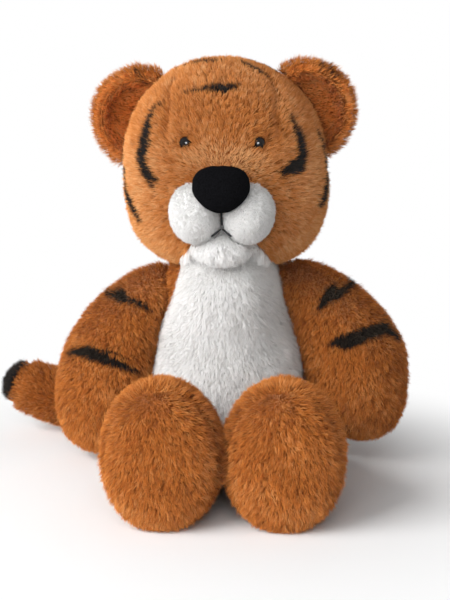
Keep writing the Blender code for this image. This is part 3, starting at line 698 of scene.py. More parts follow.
@dataclass(frozen=True)
class Stuffing:
    """How a stuffed form is pressed out: remesh size, most movement and where its skin lies."""

    voxel: float = 5.2 * MM
    cap: float = 1.8 * MM
    pressure: float = 4.0
    frames: int = 20
    quality: int = 3
    soften: int = 4
    swell: float = 2.0 * MM

    def press(self, obj: bpy.types.Object) -> bpy.types.Object:
        """Press a closed form out by cloth simulation, then smooth it.

        Args:
            obj: A closed form. It keeps its name.

        Returns:
            The same object.
        """
        even_out(obj, self.voxel, self.soften)
        move_along_normals(obj, self.swell)
        self._simulate(obj)
        refine(obj)
        obj.data.shade_smooth()
        return obj

    def _simulate(self, obj: bpy.types.Object) -> None:
        """Run the cloth with pressure and no gravity, and keep the capped movement."""
        rest = points_of(obj.data)
        step = obj.modifiers.new("stuffing", "CLOTH")
        step.settings.use_pressure = True
        step.settings.uniform_pressure_force = self.pressure
        step.settings.effector_weights.gravity = 0.0
        step.settings.quality = self.quality
        step.point_cache.frame_start = 1
        step.point_cache.frame_end = self.frames
        scene = bpy.context.scene
        for number in range(1, self.frames + 1):
            scene.frame_set(number)
        pressed = obj.evaluated_get(bpy.context.evaluated_depsgraph_get())
        moved = points_of(pressed.data) - rest
        obj.modifiers.remove(step)
        scene.frame_set(1)
        out = normals_of(obj.data)
        moved -= out * (moved * out).sum(axis=1).mean()
        far = np.linalg.norm(moved, axis=1, keepdims=True)
        LOG.info("%s: stuffing moves it by %.2f mm", obj.name, far.mean() / MM)
        moved *= np.minimum(1.0, self.cap / np.maximum(far, TINY))
        set_points(obj.data, rest + moved)


def move_along_normals(obj: bpy.types.Object, distance: np.ndarray | float) -> None:
    """Move a form's surface out or in.

    Args:
        obj: The form.
        distance: How far out, one value or one for each point.
    """
    way = normals_of(obj.data)
    shift = way * (distance[:, None] if isinstance(distance, np.ndarray) else distance)
    set_points(obj.data, points_of(obj.data) + shift)


def rest_on_floor(obj: bpy.types.Object) -> None:
    """Flatten a form where it would pass through the floor."""
    places = points_of(obj.data)
    places[:, 2] = np.maximum(places[:, 2], CLOTH_CLEARANCE)
    set_points(obj.data, places)


def dye_cloth(obj: bpy.types.Object, dyed: Optional[Field] = None,
              plain: float = PLAIN_CLOTH) -> None:
    """Dye a cover's cloth as the pile on it is.

    Args:
        obj: The cover.
        dyed: How likely a strand is dyed black there, if any is.
        plain: Shade of the cloth between the stripes.
    """
    points = points_of(obj.data)
    black = np.zeros(len(points)) if dyed is None else dyed(points, points)
    write_values(obj.data, "pile_shade", np.where(black > 0.5, BLACK_CLOTH, plain))


def panel_of(form: bpy.types.Object, name: str, keep: np.ndarray,
             thickness: float) -> bpy.types.Object:
    """Cut one cloth panel out of a form and give it its thickness.

    Args:
        form: The whole stuffed form.
        name: Name of the panel.
        keep: Whether each face of the form belongs to the panel.
        thickness: Thickness of the cloth, inward.

    Returns:
        The panel as a closed shell.
    """
    obj = bpy.data.objects.new(name, form.data.copy())
    obj.data.name = name
    bpy.context.scene.collection.objects.link(obj)
    select_only(obj)
    if not keep.all():
        bpy.ops.object.mode_set(mode="EDIT")
        bpy.ops.mesh.select_mode(type="FACE")
        bpy.ops.mesh.select_all(action="DESELECT")
        bpy.ops.object.mode_set(mode="OBJECT")
        obj.data.polygons.foreach_set("select", ~keep)
        bpy.ops.object.mode_set(mode="EDIT")
        bpy.ops.mesh.delete(type="FACE")
        bpy.ops.object.mode_set(mode="OBJECT")
    wall = obj.modifiers.new("cloth", "SOLIDIFY")
    wall.thickness = thickness
    wall.offset = -1.0
    apply_modifiers(obj)
    return obj


def tree_of(*forms: bpy.types.Object) -> bvhtree.BVHTree:
    """A search tree over the faces of some forms."""
    places: list[Vector] = []
    faces: list[tuple[int, ...]] = []
    for form in forms:
        base = len(places)
        places.extend(point.co.copy() for point in form.data.vertices)
        faces.extend(tuple(base + corner for corner in face.vertices)
                     for face in form.data.polygons)
    return bvhtree.BVHTree.FromPolygons(places, faces)


# Pile


@dataclass
class Roots:
    """Where strands stand: their places and the outward directions there."""

    points: np.ndarray
    normals: np.ndarray

    def only(self, keep: np.ndarray) -> "Roots":
        """The roots that a mask keeps."""
        return Roots(self.points[keep], self.normals[keep])

    @classmethod
    def on(cls, mesh: bpy.types.Mesh, per_mm2: float, rng: np.random.Generator) -> "Roots":
        """Scatter roots evenly over a mesh.

        Args:
            mesh: The form that they stand on.
            per_mm2: How many stand on a square millimetre.
            rng: Seeded source of numbers.

        Returns:
            The roots.
        """
        mesh.calc_loop_triangles()
        total = len(mesh.loop_triangles)
        corners = np.empty(total * 3, np.int32)
        areas = np.empty(total, np.float32)
        mesh.loop_triangles.foreach_get("vertices", corners)
        mesh.loop_triangles.foreach_get("area", areas)
        corners = corners.reshape(-1, 3)
        which = np.repeat(np.arange(total), rng.poisson(areas / MM ** 2 * per_mm2))
        first, second = rng.random((2, len(which)))
        over = first + second > 1.0
        first[over], second[over] = 1.0 - first[over], 1.0 - second[over]
        shares = np.stack((1.0 - first - second, first, second), axis=1)[..., None]
        points = (points_of(mesh)[corners[which]] * shares).sum(axis=1)
        normals = unit((normals_of(mesh)[corners[which]] * shares).sum(axis=1))
        return cls(points, normals)


@dataclass(frozen=True)
class Strays:
    """How far strands and tufts differ from the sizes of their pile."""

    sway: tuple[float, float, float] = (0.6, 0.7, 0.7)    # one strand, a tuft, over the surface
    sway_size: float = 12.0 * MM
    lift_deg: float = 9.0
    tuft_lift_deg: float = 8.0
    length: tuple[float, float] = (0.78, 0.34)            # the least, and how much more at most
    tuft_length: float = 0.10
    twist_deg: float = 24.0
    width: tuple[float, float] = (0.75, 0.5)              # the least, and how much more at most
    tone: tuple[float, float, float] = (0.15, 0.10, 0.11)  # one strand, a tuft, over the surface
    tone_size: float = 18.0 * MM


@dataclass(frozen=True)
class Pile:
    """Strands of one kind of pile."""

    length: float
    width: float
    per_mm2: float
    tuft: float = 2.3 * MM
    gather: float = 0.20
    sway_deg: float = 26.0
    foot_lift_deg: float = 74.0
    tip_lift_deg: float = 40.0
    sink: float = 0.3 * MM
    least_gap: float = 0.9 * MM
    least_share: float = 0.30
    strays: Strays = Strays()

    def grow(self, name: str, roots: Roots, comb: Field, seed: int,
             dyed: Optional[Field] = None, share: Optional[Field] = None,
             near: Optional[bvhtree.BVHTree] = None,
             ruffle: Optional[Field] = None,
             tone_and_painted_light: Optional[Field] = None) -> bpy.types.Object:
        """Grow the strands of one piece.

        Args:
            name: Name of the piece.
            roots: Where the strands stand.
            comb: Direction in which the pile is brushed at each root.
            seed: Seed of the draws.
            dyed: How likely a strand is dyed black, from 0 to 1.
            share: Share of the full length at each root.
            near: Other forms, which strands have to stay out of.
            ruffle: How unruly the pile is at each root, 1 as given by the sizes.
            tone_and_painted_light: How much paler, or below zero darker, the fibre is at each root,
                with painted light and painted shade in it.

        Returns:
            The piece, with its strands' shades and places along them as attributes.
        """
        rng = np.random.default_rng(seed)
        strays = self.strays
        lengths = np.ones(len(roots.points))
        if near is not None:
            room = self.room(roots, near)
            kept = room > self.least_gap
            roots = roots.only(kept)
            lengths = np.clip((room[kept] - self.least_gap) / (0.7 * self.length),
                              self.least_share, 1.0)
        points, normals = roots.points, roots.normals
        count = len(points)
        if share is not None:
            lengths = np.minimum(lengths, share(points, normals))
        tufts, centres = self._tufts(points, rng)
        wild = np.ones(count) if ruffle is None else ruffle(points, normals)
        single, shared, slow = strays.sway
        sway = np.radians(self.sway_deg) * wild * (
            single * rng.standard_normal(count)
            + shared * rng.standard_normal(len(centres))[tufts]
            + slow * drift(points, strays.sway_size, 1.0))
        way = comb(points, normals)
        along = unit(way - normals * (way * normals).sum(axis=1, keepdims=True))
        across = np.cross(normals, along)
        heading = along * np.cos(sway)[:, None] + across * np.sin(sway)[:, None]
        foot_lift = np.radians(self.foot_lift_deg
                               + strays.lift_deg * rng.standard_normal(count))
        tip_lift = np.radians(
            self.tip_lift_deg + strays.lift_deg * rng.standard_normal(count)
            + strays.tuft_lift_deg * wild * rng.standard_normal(len(centres))[tufts])
        least, more = strays.length
        lengths *= self.length * (least + more * rng.random(count))
        uneven = rng.standard_normal(len(centres))[tufts].clip(-2.0, 2.0)
        lengths *= 1.0 + strays.tuft_length * uneven
        feet = points - normals * self.sink
        middles = feet + (heading * np.cos(foot_lift)[:, None]
                          + normals * np.sin(foot_lift)[:, None]) * lengths[:, None] * 0.5
        tips = middles + (heading * np.cos(tip_lift)[:, None]
                          + normals * np.sin(tip_lift)[:, None]) * lengths[:, None] * 0.5
        pull = (centres[tufts] - points) * self.gather * wild[:, None]
        middles += pull * 0.4
        tips += pull
        twist = np.radians(strays.twist_deg) * rng.standard_normal(count)
        run = unit(tips - feet)
        flat = unit(np.cross(run, normals))
        sideways = (flat * np.cos(twist)[:, None]
                    + np.cross(run, flat) * np.sin(twist)[:, None])
        least, more = strays.width
        half = self.width * (least + more * rng.random(count))[:, None] / 2.0
        single, shared, slow = strays.tone
        tone = (0.5 + single * rng.standard_normal(count)
                + shared * rng.standard_normal(len(centres))[tufts]
                + slow * drift(points, strays.tone_size, 4.0))
        # painted light and shade, where given, added to the fibre's tone
        if tone_and_painted_light is not None:
            tone += tone_and_painted_light(points, normals)
        shades = FIBRE_SHADES + (1.0 - FIBRE_SHADES) * np.clip(tone, 0.0, 1.0)
        if dyed is not None:
            cover = dyed(middles + (tips - middles) * 0.5, normals)
            shades = FIBRE_SHADES + (shades - FIBRE_SHADES) * (1.0 - 0.8 * cover)
            black = cover > rng.random(count)
            shades = np.where(black, BLACK_SHADES * rng.random(count), shades)
        corners = np.stack((feet, middles + sideways * half, middles - sideways * half, tips),
                           axis=1)
        corners[..., 2] = np.maximum(corners[..., 2], STRAND_CLEARANCE)
        return self._mesh(name, corners, shades)

    def room(self, roots: Roots, near: bvhtree.BVHTree) -> np.ndarray:
        """Distance from each root to the other forms, as far as a strand can reach."""
        reach = self.length
        room = np.full(len(roots.points), reach)
        for index, point in enumerate(roots.points.tolist()):
            found = near.find_nearest(point, reach)
            if found[3] is not None:
                room[index] = found[3]
        return room

    def _tufts(self, points: np.ndarray,
               rng: np.random.Generator) -> tuple[np.ndarray, np.ndarray]:
        """Share the strands out among tufts.

        Args:
            points: The roots' places.
            rng: Seeded source of numbers.

        Returns:
            The tuft of each strand, and the tufts' middles.
        """
        per_tuft = max(self.per_mm2 * (self.tuft / MM) ** 2, 1.0)
        wanted = max(int(len(points) / per_tuft), 1)
        centres = points[rng.choice(len(points), wanted, replace=False)]
        tree = kdtree.KDTree(len(centres))
        for index, centre in enumerate(centres.tolist()):
            tree.insert(centre, index)
        tree.balance()
        tufts = np.array([tree.find(point)[1] for point in points.tolist()])
        return tufts, centres

    @staticmethod
    def _mesh(name: str, corners: np.ndarray, shades: np.ndarray) -> bpy.types.Object:
        """Make the mesh of all strands, each a triangle at the foot and one to the tip.

        Args:
            name: Name of the piece.
            corners: Four places for each strand: foot, both sides of its middle, and tip.
            shades: Shade of each strand.

        Returns:
            The object.
        """
        count = len(corners)
        mesh = bpy.data.meshes.new(name)
        mesh.vertices.add(count * 4)
        mesh.vertices.foreach_set("co", corners.astype(np.float32).ravel())
        base = np.arange(count)[:, None] * 4
        loops = (base + np.array([0, 1, 2, 2, 1, 3])).ravel()
        starts = (np.arange(count)[:, None] * 6 + np.array([0, 3])).ravel()
        mesh.loops.add(len(loops))
        mesh.loops.foreach_set("vertex_index", loops.astype(np.int32))
        mesh.polygons.add(count * 2)
        mesh.polygons.foreach_set("loop_start", starts.astype(np.int32))
        mesh.update(calc_edges=True)
        mesh.shade_smooth()
        along = np.tile(np.array([0.0, 0.5, 0.5, 1.0]), count)
        write_values(mesh, "pile_shade", np.repeat(shades, 4))
        write_values(mesh, "pile_along", along)
        chart = mesh.uv_layers.new(name="OFBake")
        places = np.stack((np.repeat(shades, 4)[loops], along[loops] * 0.12), axis=1)
        chart.uv.foreach_set("vector", places.astype(np.float32).ravel())
        obj = bpy.data.objects.new(name, mesh)
        bpy.context.scene.collection.objects.link(obj)
        return obj


def constant(direction: Sequence[float]) -> Field:
    """A comb that brushes everything one way."""
    way = np.array(direction, float)
    return lambda points, normals: np.tile(way, (len(points), 1))


def level(value: float) -> Field:
    """The same number everywhere."""
    return lambda points, normals: np.full(len(points), value)


def dress(obj: bpy.types.Object, material: bpy.types.Material) -> bpy.types.Object:
    """Give a piece its material.

    Args:
        obj: The piece.
        material: Its material.

    Returns:
        The same piece.
    """
    obj.data.materials.clear()
    obj.data.materials.append(material)
    LOG.info("%s: %d faces", obj.name, len(obj.data.polygons))
    return obj


@dataclass(frozen=True)
class Seam:
    """Where a piece crosses a joint: both bodies, and where it starts and ends bending."""

    parent: str
    child: str
    start: tuple[float, float, float]
    end: tuple[float, float, float]

    def carry(self, *pieces: bpy.types.Object) -> None:
        """Bake each piece's placement into its points."""
        for piece in pieces:
            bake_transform(piece)


MATERIALS: dict[str, bpy.types.Material] = {}


def material_of(finish: PileFinish | BackingFinish | PlainFinish) -> bpy.types.Material:
    """The finish's material, made once."""
    if finish.name not in MATERIALS:
        MATERIALS[finish.name] = finish.material()
    return MATERIALS[finish.name]


@dataclass
class Torso:
    """The body: orange cover, white belly panel, filling and seat pellet bag."""

    height: float = 170.0 * MM
    width: float = 112.0 * MM
    panel_back: float = -2.0 * MM
    # how far the chest comes forward and up by its height, and where: by depth and sideways
    chest_forward: Rise = Rise(0.0, 21.0 * MM, 84.0 * MM, 138.0 * MM)
    chest_up: Rise = Rise(0.0, 10.0 * MM, 116.0 * MM, 140.0 * MM)
    chest_depth: Rise = Rise(0.0, 1.0, 6.0 * MM, 26.0 * MM)
    chest_side: Rise = Rise(1.0, 0.0, 16.0 * MM, 44.0 * MM)
    under_head: float = 73.0 * MM
    panel_side: float = 4.0 * MM
    seam_depth: float = 1.6 * MM
    seam_width: float = 3.0 * MM
    seam_share: Rise = Rise(0.55, 1.0, 0.0, 7.0 * MM)
    # height and half width of the panel's seam, as shares of the torso's height and width
    panel_shares: tuple[tuple[float, float], ...] = (
        (0.070, 0.100), (0.120, 0.300), (0.250, 0.435), (0.420, 0.470),
        (0.580, 0.430), (0.720, 0.350), (0.850, 0.290), (1.000, 0.240))
    cover_pile: Pile = Pile(6.2 * MM, 0.36 * MM, 2.7)
    belly_pile: Pile = Pile(6.4 * MM, 0.32 * MM, 4.2, tuft=2.0 * MM, sway_deg=38.0,
                            gather=0.07, tip_lift_deg=52.0)
    back_stripes: tuple[Stroke, ...] = (
        Stroke(((-44, 128, 1.0), (-30, 124, 3.2), (-14, 127, 3.6), (0, 122, 1.2))),
        Stroke(((46, 104, 1.2), (30, 99, 3.8), (12, 103, 3.6), (-4, 98, 1.2))),
        Stroke(((-52, 78, 1.2), (-34, 72, 4.0), (-14, 76, 3.8), (2, 70, 1.2))),
        Stroke(((54, 52, 1.2), (36, 47, 3.6), (16, 51, 3.4), (0, 46, 1.0))),
    )
    form: bpy.types.Object = field(init=False)

    def outline(self) -> np.ndarray:
        """The panel's seam as sideways and height places, closed."""
        right = [(self.width * half, self.height * up) for up, half in self.panel_shares]
        left = [(-side, up) for side, up in reversed(right)]
        return np.array(right + left + right[:1]) + np.array([self.panel_side, 0.0])

    def from_seam(self, points: np.ndarray) -> np.ndarray:
        """Distance from the belly seam, below zero inside the panel."""
        flat = points[:, (0, 2)]
        line = self.outline()
        away = np.full(len(points), FAR)
        inside = np.zeros(len(points), bool)
        for start, end in zip(line, line[1:]):
            away = np.minimum(away, from_run(flat, start, end)[0])
            crosses = (start[1] > flat[:, 1]) != (end[1] > flat[:, 1])
            rise = end[1] - start[1] if abs(end[1] - start[1]) > TINY else TINY
            at = start[0] + (flat[:, 1] - start[1]) / rise * (end[0] - start[0])
            inside ^= crosses & (flat[:, 0] < at)
        signed = np.where(inside, -away, away)
        behind = points[:, 1] - self.panel_back
        return np.maximum(signed, behind)

    def shape(self) -> None:
        """Make the stuffed form of the body."""
        self.form = copy_of_node("torso_form", "torso_filling", "seat_pellet_bag")
        Stuffing(swell=2.4 * MM).press(self.form)
        places = points_of(self.form.data)
        front = self.chest_depth.at(-places[:, 1]) * self.chest_side.at(np.abs(places[:, 0]))
        height = places[:, 2].copy()
        places[:, 1] -= self.chest_forward.at(height) * front
        places[:, 2] += self.chest_up.at(height) * front
        out = places - np.array([0.0, 0.0, HEAD_HEIGHT])
        away = np.linalg.norm(out, axis=1)
        pressed = (front > 0.02) & (height > self.chest_up.start) & (away < self.under_head)
        places[pressed] += (out * (self.under_head / away - 1.0)[:, None])[pressed]
        set_points(self.form.data, places)
        seam = self.from_seam(points_of(self.form.data))
        move_along_normals(self.form, -self.seam_depth * bell(seam, self.seam_width))
        rest_on_floor(self.form)

    def dyed(self, points: np.ndarray, normals: np.ndarray) -> np.ndarray:
        """Stripes across the back."""
        return cover_of(self.back_stripes, points[:, (0, 2)]) * (points[:, 1] > 0.0)

    def share(self, points: np.ndarray, normals: np.ndarray) -> np.ndarray:
        """Shorter pile along the belly seam."""
        return self.seam_share.at(np.abs(self.from_seam(points)))

    def build(self, near: bvhtree.BVHTree, limbs: bvhtree.BVHTree) -> None:
        """Make the cover, the panel and their pile.

        Args:
            near: The forms sewn to the torso.
            limbs: The same without the head, under which the white pile runs on.
        """
        belly = self.from_seam(face_middles(self.form.data)) < 0.0
        cover = panel_of(self.form, "torso_cover_cloth", ~belly, CLOTH)
        panel = panel_of(self.form, "belly_panel_cloth", belly, CLOTH)
        for piece, dyed, finish, slot, node in (
                (cover, self.dyed, ORANGE_BACKING, "orange_plush", "torso_cover"),
                (panel, None, WHITE_BACKING, "white_plush", "belly_panel")):
            dye_cloth(piece, dyed)
            dress(piece, material_of(finish))
            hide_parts(node)
            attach(piece, "torso")
        rng = np.random.default_rng(11)
        roots = Roots.on(self.form.data, self.cover_pile.per_mm2, rng)
        roots = roots.only(self.from_seam(roots.points) >= 0.0)
        fur = self.cover_pile.grow("torso_pile", roots, constant((0.0, 0.0, -1.0)), 12,
                                   self.dyed, self.share, near)
        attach(dress(fur, material_of(ORANGE_PILE)), "torso")
        roots = Roots.on(self.form.data, self.belly_pile.per_mm2, rng)
        roots = roots.only(self.from_seam(roots.points) < 0.0)
        fur = self.belly_pile.grow("belly_pile", roots, constant((0.0, -0.1, -1.0)), 13,
                                   None, self.share, limbs, level(0.4))
        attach(dress(fur, material_of(WHITE_PILE)), "torso")


@dataclass
class Head:
    """The head's cover with its pile and stripes."""

    radius: float = 70.0 * MM
    nose: tuple[float, float, float] = (0.0, -84.0 * MM, 204.0 * MM)
    eye_side_deg: float = 21.9
    eye_rise_deg: float = 16.3
    eye_radius: float = 4.5 * MM
    ridge_depth: float = 3.0 * MM
    ridge_width: float = 3.4 * MM
    # how much fuller the left jowl is by its place sideways, and where, by the depth below the
    # head's middle
    jowl: Rise = Rise(0.0, 2.6 * MM, 25.0 * MM, 55.0 * MM)
    jowl_low: Rise = Rise(0.0, 1.0, -5.0 * MM, 25.0 * MM)
    throat: Patch = Patch(-43.0, 25.0, 12.0, 8.0 * MM)
    # the white throat: its top, its front, its middle, half width at a height, and its widening
    white_top: float = -30.0 * MM
    white_front: float = -12.0 * MM
    white_middle: float = 1.5 * MM
    white_half: float = 13.0 * MM
    white_half_height: float = -38.0 * MM
    white_widening: float = 0.75
    # the pile's length: round the nose, round the eyes in their radii, and at the flatter
    # place at the upper left, by its side and rise in degrees and its reach on a unit ball
    nose_share: Rise = Rise(0.62, 1.0, 22.0 * MM, 50.0 * MM)
    eye_share: Rise = Rise(0.74, 1.0, 1.0, 2.6)
    flat_corner_deg: tuple[float, float] = (55.0, 58.0)
    flat_corner_reach: float = 0.45
    # the pile's set: down at the back, towards the eyes, and unruly on the forehead
    back_comb: Rise = Rise(0.0, 1.0, 0.0, 50.0 * MM)
    eye_comb: Rise = Rise(1.8, 0.0, 1.0, 2.2)
    wild_side: Rise = Rise(1.25, 0.45, 28.0, 52.0)
    wild_nose: Rise = Rise(0.3, 1.0, 38.0 * MM, 52.0 * MM)
    # how much paler, or darker below zero: painted light on snout and sides, painted shade round the
    # eyes, darker forehead
    # painted light: paler fibre over the snout, whose upturned fur catches the light from above
    snout_painted_light: Patch = Patch(7.0, 28.0, 9.0, 0.50)
    forehead_tint: Patch = Patch(38.0, 34.0, 20.0, -0.14)
    # painted light: paler fibre on the lower sides of the head, for light on the cheeks
    cheek_light_side: Rise = Rise(0.0, 0.20, 30.0, 50.0)
    cheek_light_rise: Rise = Rise(1.0, 0.0, 0.0, 30.0)
    # painted shade: darker fibre round the eyes, in the hollows of their sockets
    eye_painted_shade: float = -0.40
    eye_shade_reach: float = 1.7
    pile: Pile = Pile(6.4 * MM, 0.36 * MM, 3.0)
    throat_pile: Pile = Pile(11.0 * MM, 0.34 * MM, 4.0, tuft=2.4 * MM, sway_deg=28.0,
                             gather=0.10, tip_lift_deg=48.0, least_gap=0.4 * MM,
                             least_share=0.45)
    # seams from the ears' roots down to the eyes: side and rise in degrees
    ridge: tuple[tuple[float, float], ...] = ((57, 56), (50, 48), (43, 41), (38, 31), (35, 20))
    # side and rise in degrees from straight ahead, and half width in millimetres
    stripes: tuple[Stroke, ...] = (
        Stroke(((-33, 46, 0.4), (-19, 49, 1.0), (-10, 50, 3.2), (0, 50, 3.6), (6, 51, 2.8),
                (15, 53, 0.9))),
        Stroke(((-49, 38, 0.6), (-54, 34, 1.4), (-54, 27, 2.8), (-53, 20, 4.2), (-53, 13, 5.5),
                (-54, 7, 5.8), (-51, 0, 4.8), (-46, -4, 3.6), (-40, -6, 1.6))),
        Stroke(((-52, -2, 2.4), (-44, -10, 1.4))),
        Stroke(((-88, 6, 1.2), (-79, -8, 3.4), (-74, -17, 4.0), (-66, -23, 4.0), (-61, -29, 2.0))),
        Stroke(((49, 31, 0.9), (50, 24, 2.6), (52, 16, 4.0), (52, 8, 4.8), (49, 2, 5.0),
                (42, 1, 4.6), (36, -1, 2.4))),
        Stroke(((74, 20, 0.9), (80, 10, 2.6), (84, 0, 3.6), (84, -8, 4.4), (76, -15, 5.4),
                (69, -20, 2.6))),
        Stroke(((50, 78, 1.4), (51, 71, 2.4), (54, 65, 2.2), (58, 60, 1.0))),
        Stroke(((-10, 80, 1.0), (-45, 77, 2.4), (-72, 71, 2.4), (-84, 63, 1.0))),
        Stroke(((-112, 62, 1.4), (-128, 70, 3.0), (-150, 76, 3.4), (-178, 77, 1.4))),
        Stroke(((150, 79, 1.2), (125, 72, 2.8), (108, 65, 2.8), (98, 58, 1.2))),
        Stroke(((-168, 48, 1.2), (-178, 52, 3.4), (166, 50, 3.8), (150, 44, 1.4))),
        Stroke(((-142, 22, 1.2), (-158, 27, 3.8), (-174, 24, 3.8), (176, 19, 1.2))),
        Stroke(((-178, -6, 1.2), (168, -2, 3.6), (150, -6, 3.6), (138, -14, 1.2))),
        Stroke(((100, 20, 1.0), (112, 12, 2.8), (116, -2, 3.0), (110, -14, 1.2))),
        Stroke(((-104, 16, 1.0), (-114, 8, 2.8), (-116, -6, 3.0), (-108, -18, 1.2))),
    )
    form: bpy.types.Object = field(init=False)

    @property
    def centre(self) -> np.ndarray:
        """Middle of the head."""
        return np.array([0.0, 0.0, HEAD_HEIGHT])

    def direction(self, two: np.ndarray) -> np.ndarray:
        """Unit vectors from the head's middle.

        Args:
            two: Side and rise in degrees from straight ahead, one row each.

        Returns:
            One vector a row.
        """
        side, rise = np.radians(np.atleast_2d(two)).T
        return np.stack((np.sin(side) * np.cos(rise), -np.cos(side) * np.cos(rise),
                         np.sin(rise)), axis=1)

    def angles(self, points: np.ndarray) -> tuple[np.ndarray, np.ndarray]:
        """Side and rise of places in degrees, seen from the head's middle."""
        out = unit(points - self.centre)
        return np.degrees(np.arctan2(out[:, 0], -out[:, 1])), np.degrees(np.arcsin(out[:, 2]))

    def shape(self) -> None:
        """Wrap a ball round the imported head, draw it in under the pile and press it out."""
        low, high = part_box("head_cover")
        target = copy_of_node("head_target", "head_cover")
        bpy.ops.object.select_all(action="DESELECT")
        middle = (low + high) / 2.0
        bpy.ops.mesh.primitive_uv_sphere_add(segments=64, ring_count=40, radius=1.0,
                                             location=middle, scale=(high - low) * 0.62)
        self.form = bpy.context.view_layer.objects.active
        self.form.name = "head_form"
        bpy.ops.object.transform_apply(location=True, rotation=True, scale=True)
        wrap = self.form.modifiers.new("wrapped", "SHRINKWRAP")
        wrap.target = target
        wrap.wrap_method = "NEAREST_SURFACEPOINT"
        even = self.form.modifiers.new("even", "SMOOTH")
        even.iterations = 10
        apply_modifiers(self.form)
        move_along_normals(self.form, -SKIN_DEPTH)
        bpy.data.objects.remove(target)
        Stuffing(swell=2.4 * MM).press(self.form)
        places = points_of(self.form.data)
        jowl = self.jowl.at(places[:, 0]) * self.jowl_low.at(HEAD_HEIGHT - places[:, 2])
        ridge = self.ridge_depth * bell(self.from_ridge(places), self.ridge_width)
        move_along_normals(self.form, jowl + self.throat.at(*self.angles(places)) - ridge)

    def from_ridge(self, points: np.ndarray) -> np.ndarray:
        """Distance from the two seams on the forehead."""
        out = unit(points - self.centre) * self.radius
        out[:, 0] = np.abs(out[:, 0])
        line = self.direction(np.array(self.ridge)) * self.radius
        away = np.full(len(points), FAR)
        for start, end in zip(line, line[1:]):
            away = np.minimum(away, from_run(out, start, end)[0])
        return away

    def in_throat(self, points: np.ndarray) -> np.ndarray:
        """Whether a place lies on the white throat, from the muzzle down to the neck."""
        height = points[:, 2] - HEAD_HEIGHT
        half = self.white_half + (self.white_half_height - height) * self.white_widening
        ragged = 1.2 * MM * drift(points, 5.0 * MM, 3.0)
        edge = np.abs(points[:, 0] - self.white_middle) + ragged
        front = points[:, 1] < self.white_front
        return (height < self.white_top) & front & (edge < half)

    def dyed(self, points: np.ndarray, normals: np.ndarray) -> np.ndarray:
        """The head's stripes."""
        out = unit(points - self.centre) * self.radius
        return cover_of(self.stripes, out, to_space=lambda two: self.direction(two) * self.radius)

    def comb(self, points: np.ndarray, normals: np.ndarray) -> np.ndarray:
        """Away from the nose, and down at the back."""
        from_nose = unit(points - np.array(self.nose))
        back = self.back_comb.at(points[:, 1])[:, None]
        way = from_nose * (1.0 - back) + np.array([0.0, 0.2, -1.0]) * back
        for eye in self.eyes():
            to_eye = self.centre + eye * self.radius - points
            radii = np.linalg.norm(to_eye, axis=1) / self.eye_radius
            way += unit(to_eye) * self.eye_comb.at(radii)[:, None]
        return way

    def eyes(self) -> np.ndarray:
        """Directions of both eyes from the head's middle."""
        return self.direction(np.array([[-self.eye_side_deg, self.eye_rise_deg],
                                        [self.eye_side_deg, self.eye_rise_deg]]))

    def radii_from(self, eye: np.ndarray, out: np.ndarray) -> np.ndarray:
        """Distance from an eye in its radii, for unit vectors from the head's middle."""
        return np.linalg.norm(out - eye, axis=1) * self.radius / self.eye_radius

    def share(self, points: np.ndarray, normals: np.ndarray) -> np.ndarray:
        """Shorter pile round the nose and the eyes."""
        from_nose = np.linalg.norm(points - np.array(self.nose), axis=1)
        share = self.nose_share.at(from_nose)
        out = unit(points - self.centre)
        for eye in self.eyes():
            share *= self.eye_share.at(self.radii_from(eye, out))
        crease = bell(self.from_ridge(points), 2.0 * MM)
        corner = self.direction(np.array([self.flat_corner_deg]))[0]
        flat = bell(np.linalg.norm(out - corner, axis=1), self.flat_corner_reach)
        return share * (1.0 - 0.35 * crease) * (1.0 - 0.45 * flat)

    def clear_of_eyes(self, points: np.ndarray) -> np.ndarray:
        """Whether a root lies outside the eyes' domes."""
        out = unit(points - self.centre)
        clear = np.ones(len(points), bool)
        for eye in self.eyes():
            clear &= self.radii_from(eye, out) > 0.98
        return clear

    def tone_and_painted_light(self, points: np.ndarray, normals: np.ndarray) -> np.ndarray:
        """Painted light over the snout and on the lower sides, painted shade round the eyes, and
        darker on the forehead.
        """
        out = unit(points - self.centre)
        side, rise = self.angles(points)
        cheek_light = self.cheek_light_side.at(np.abs(side)) * self.cheek_light_rise.at(rise)
        tone_and_painted_light = self.snout_painted_light.at(side, rise) + cheek_light + self.forehead_tint.at(side, rise)
        for eye in self.eyes():
            tone_and_painted_light += self.eye_painted_shade * bell(self.radii_from(eye, out), self.eye_shade_reach)
        return tone_and_painted_light

    def ruffle(self, points: np.ndarray, normals: np.ndarray) -> np.ndarray:
        """Unruly on the forehead, smooth on the sides and round the nose."""
        side = np.abs(self.angles(points)[0])
        from_nose = np.linalg.norm(points - np.array(self.nose), axis=1)
        return self.wild_side.at(side) * self.wild_nose.at(from_nose)

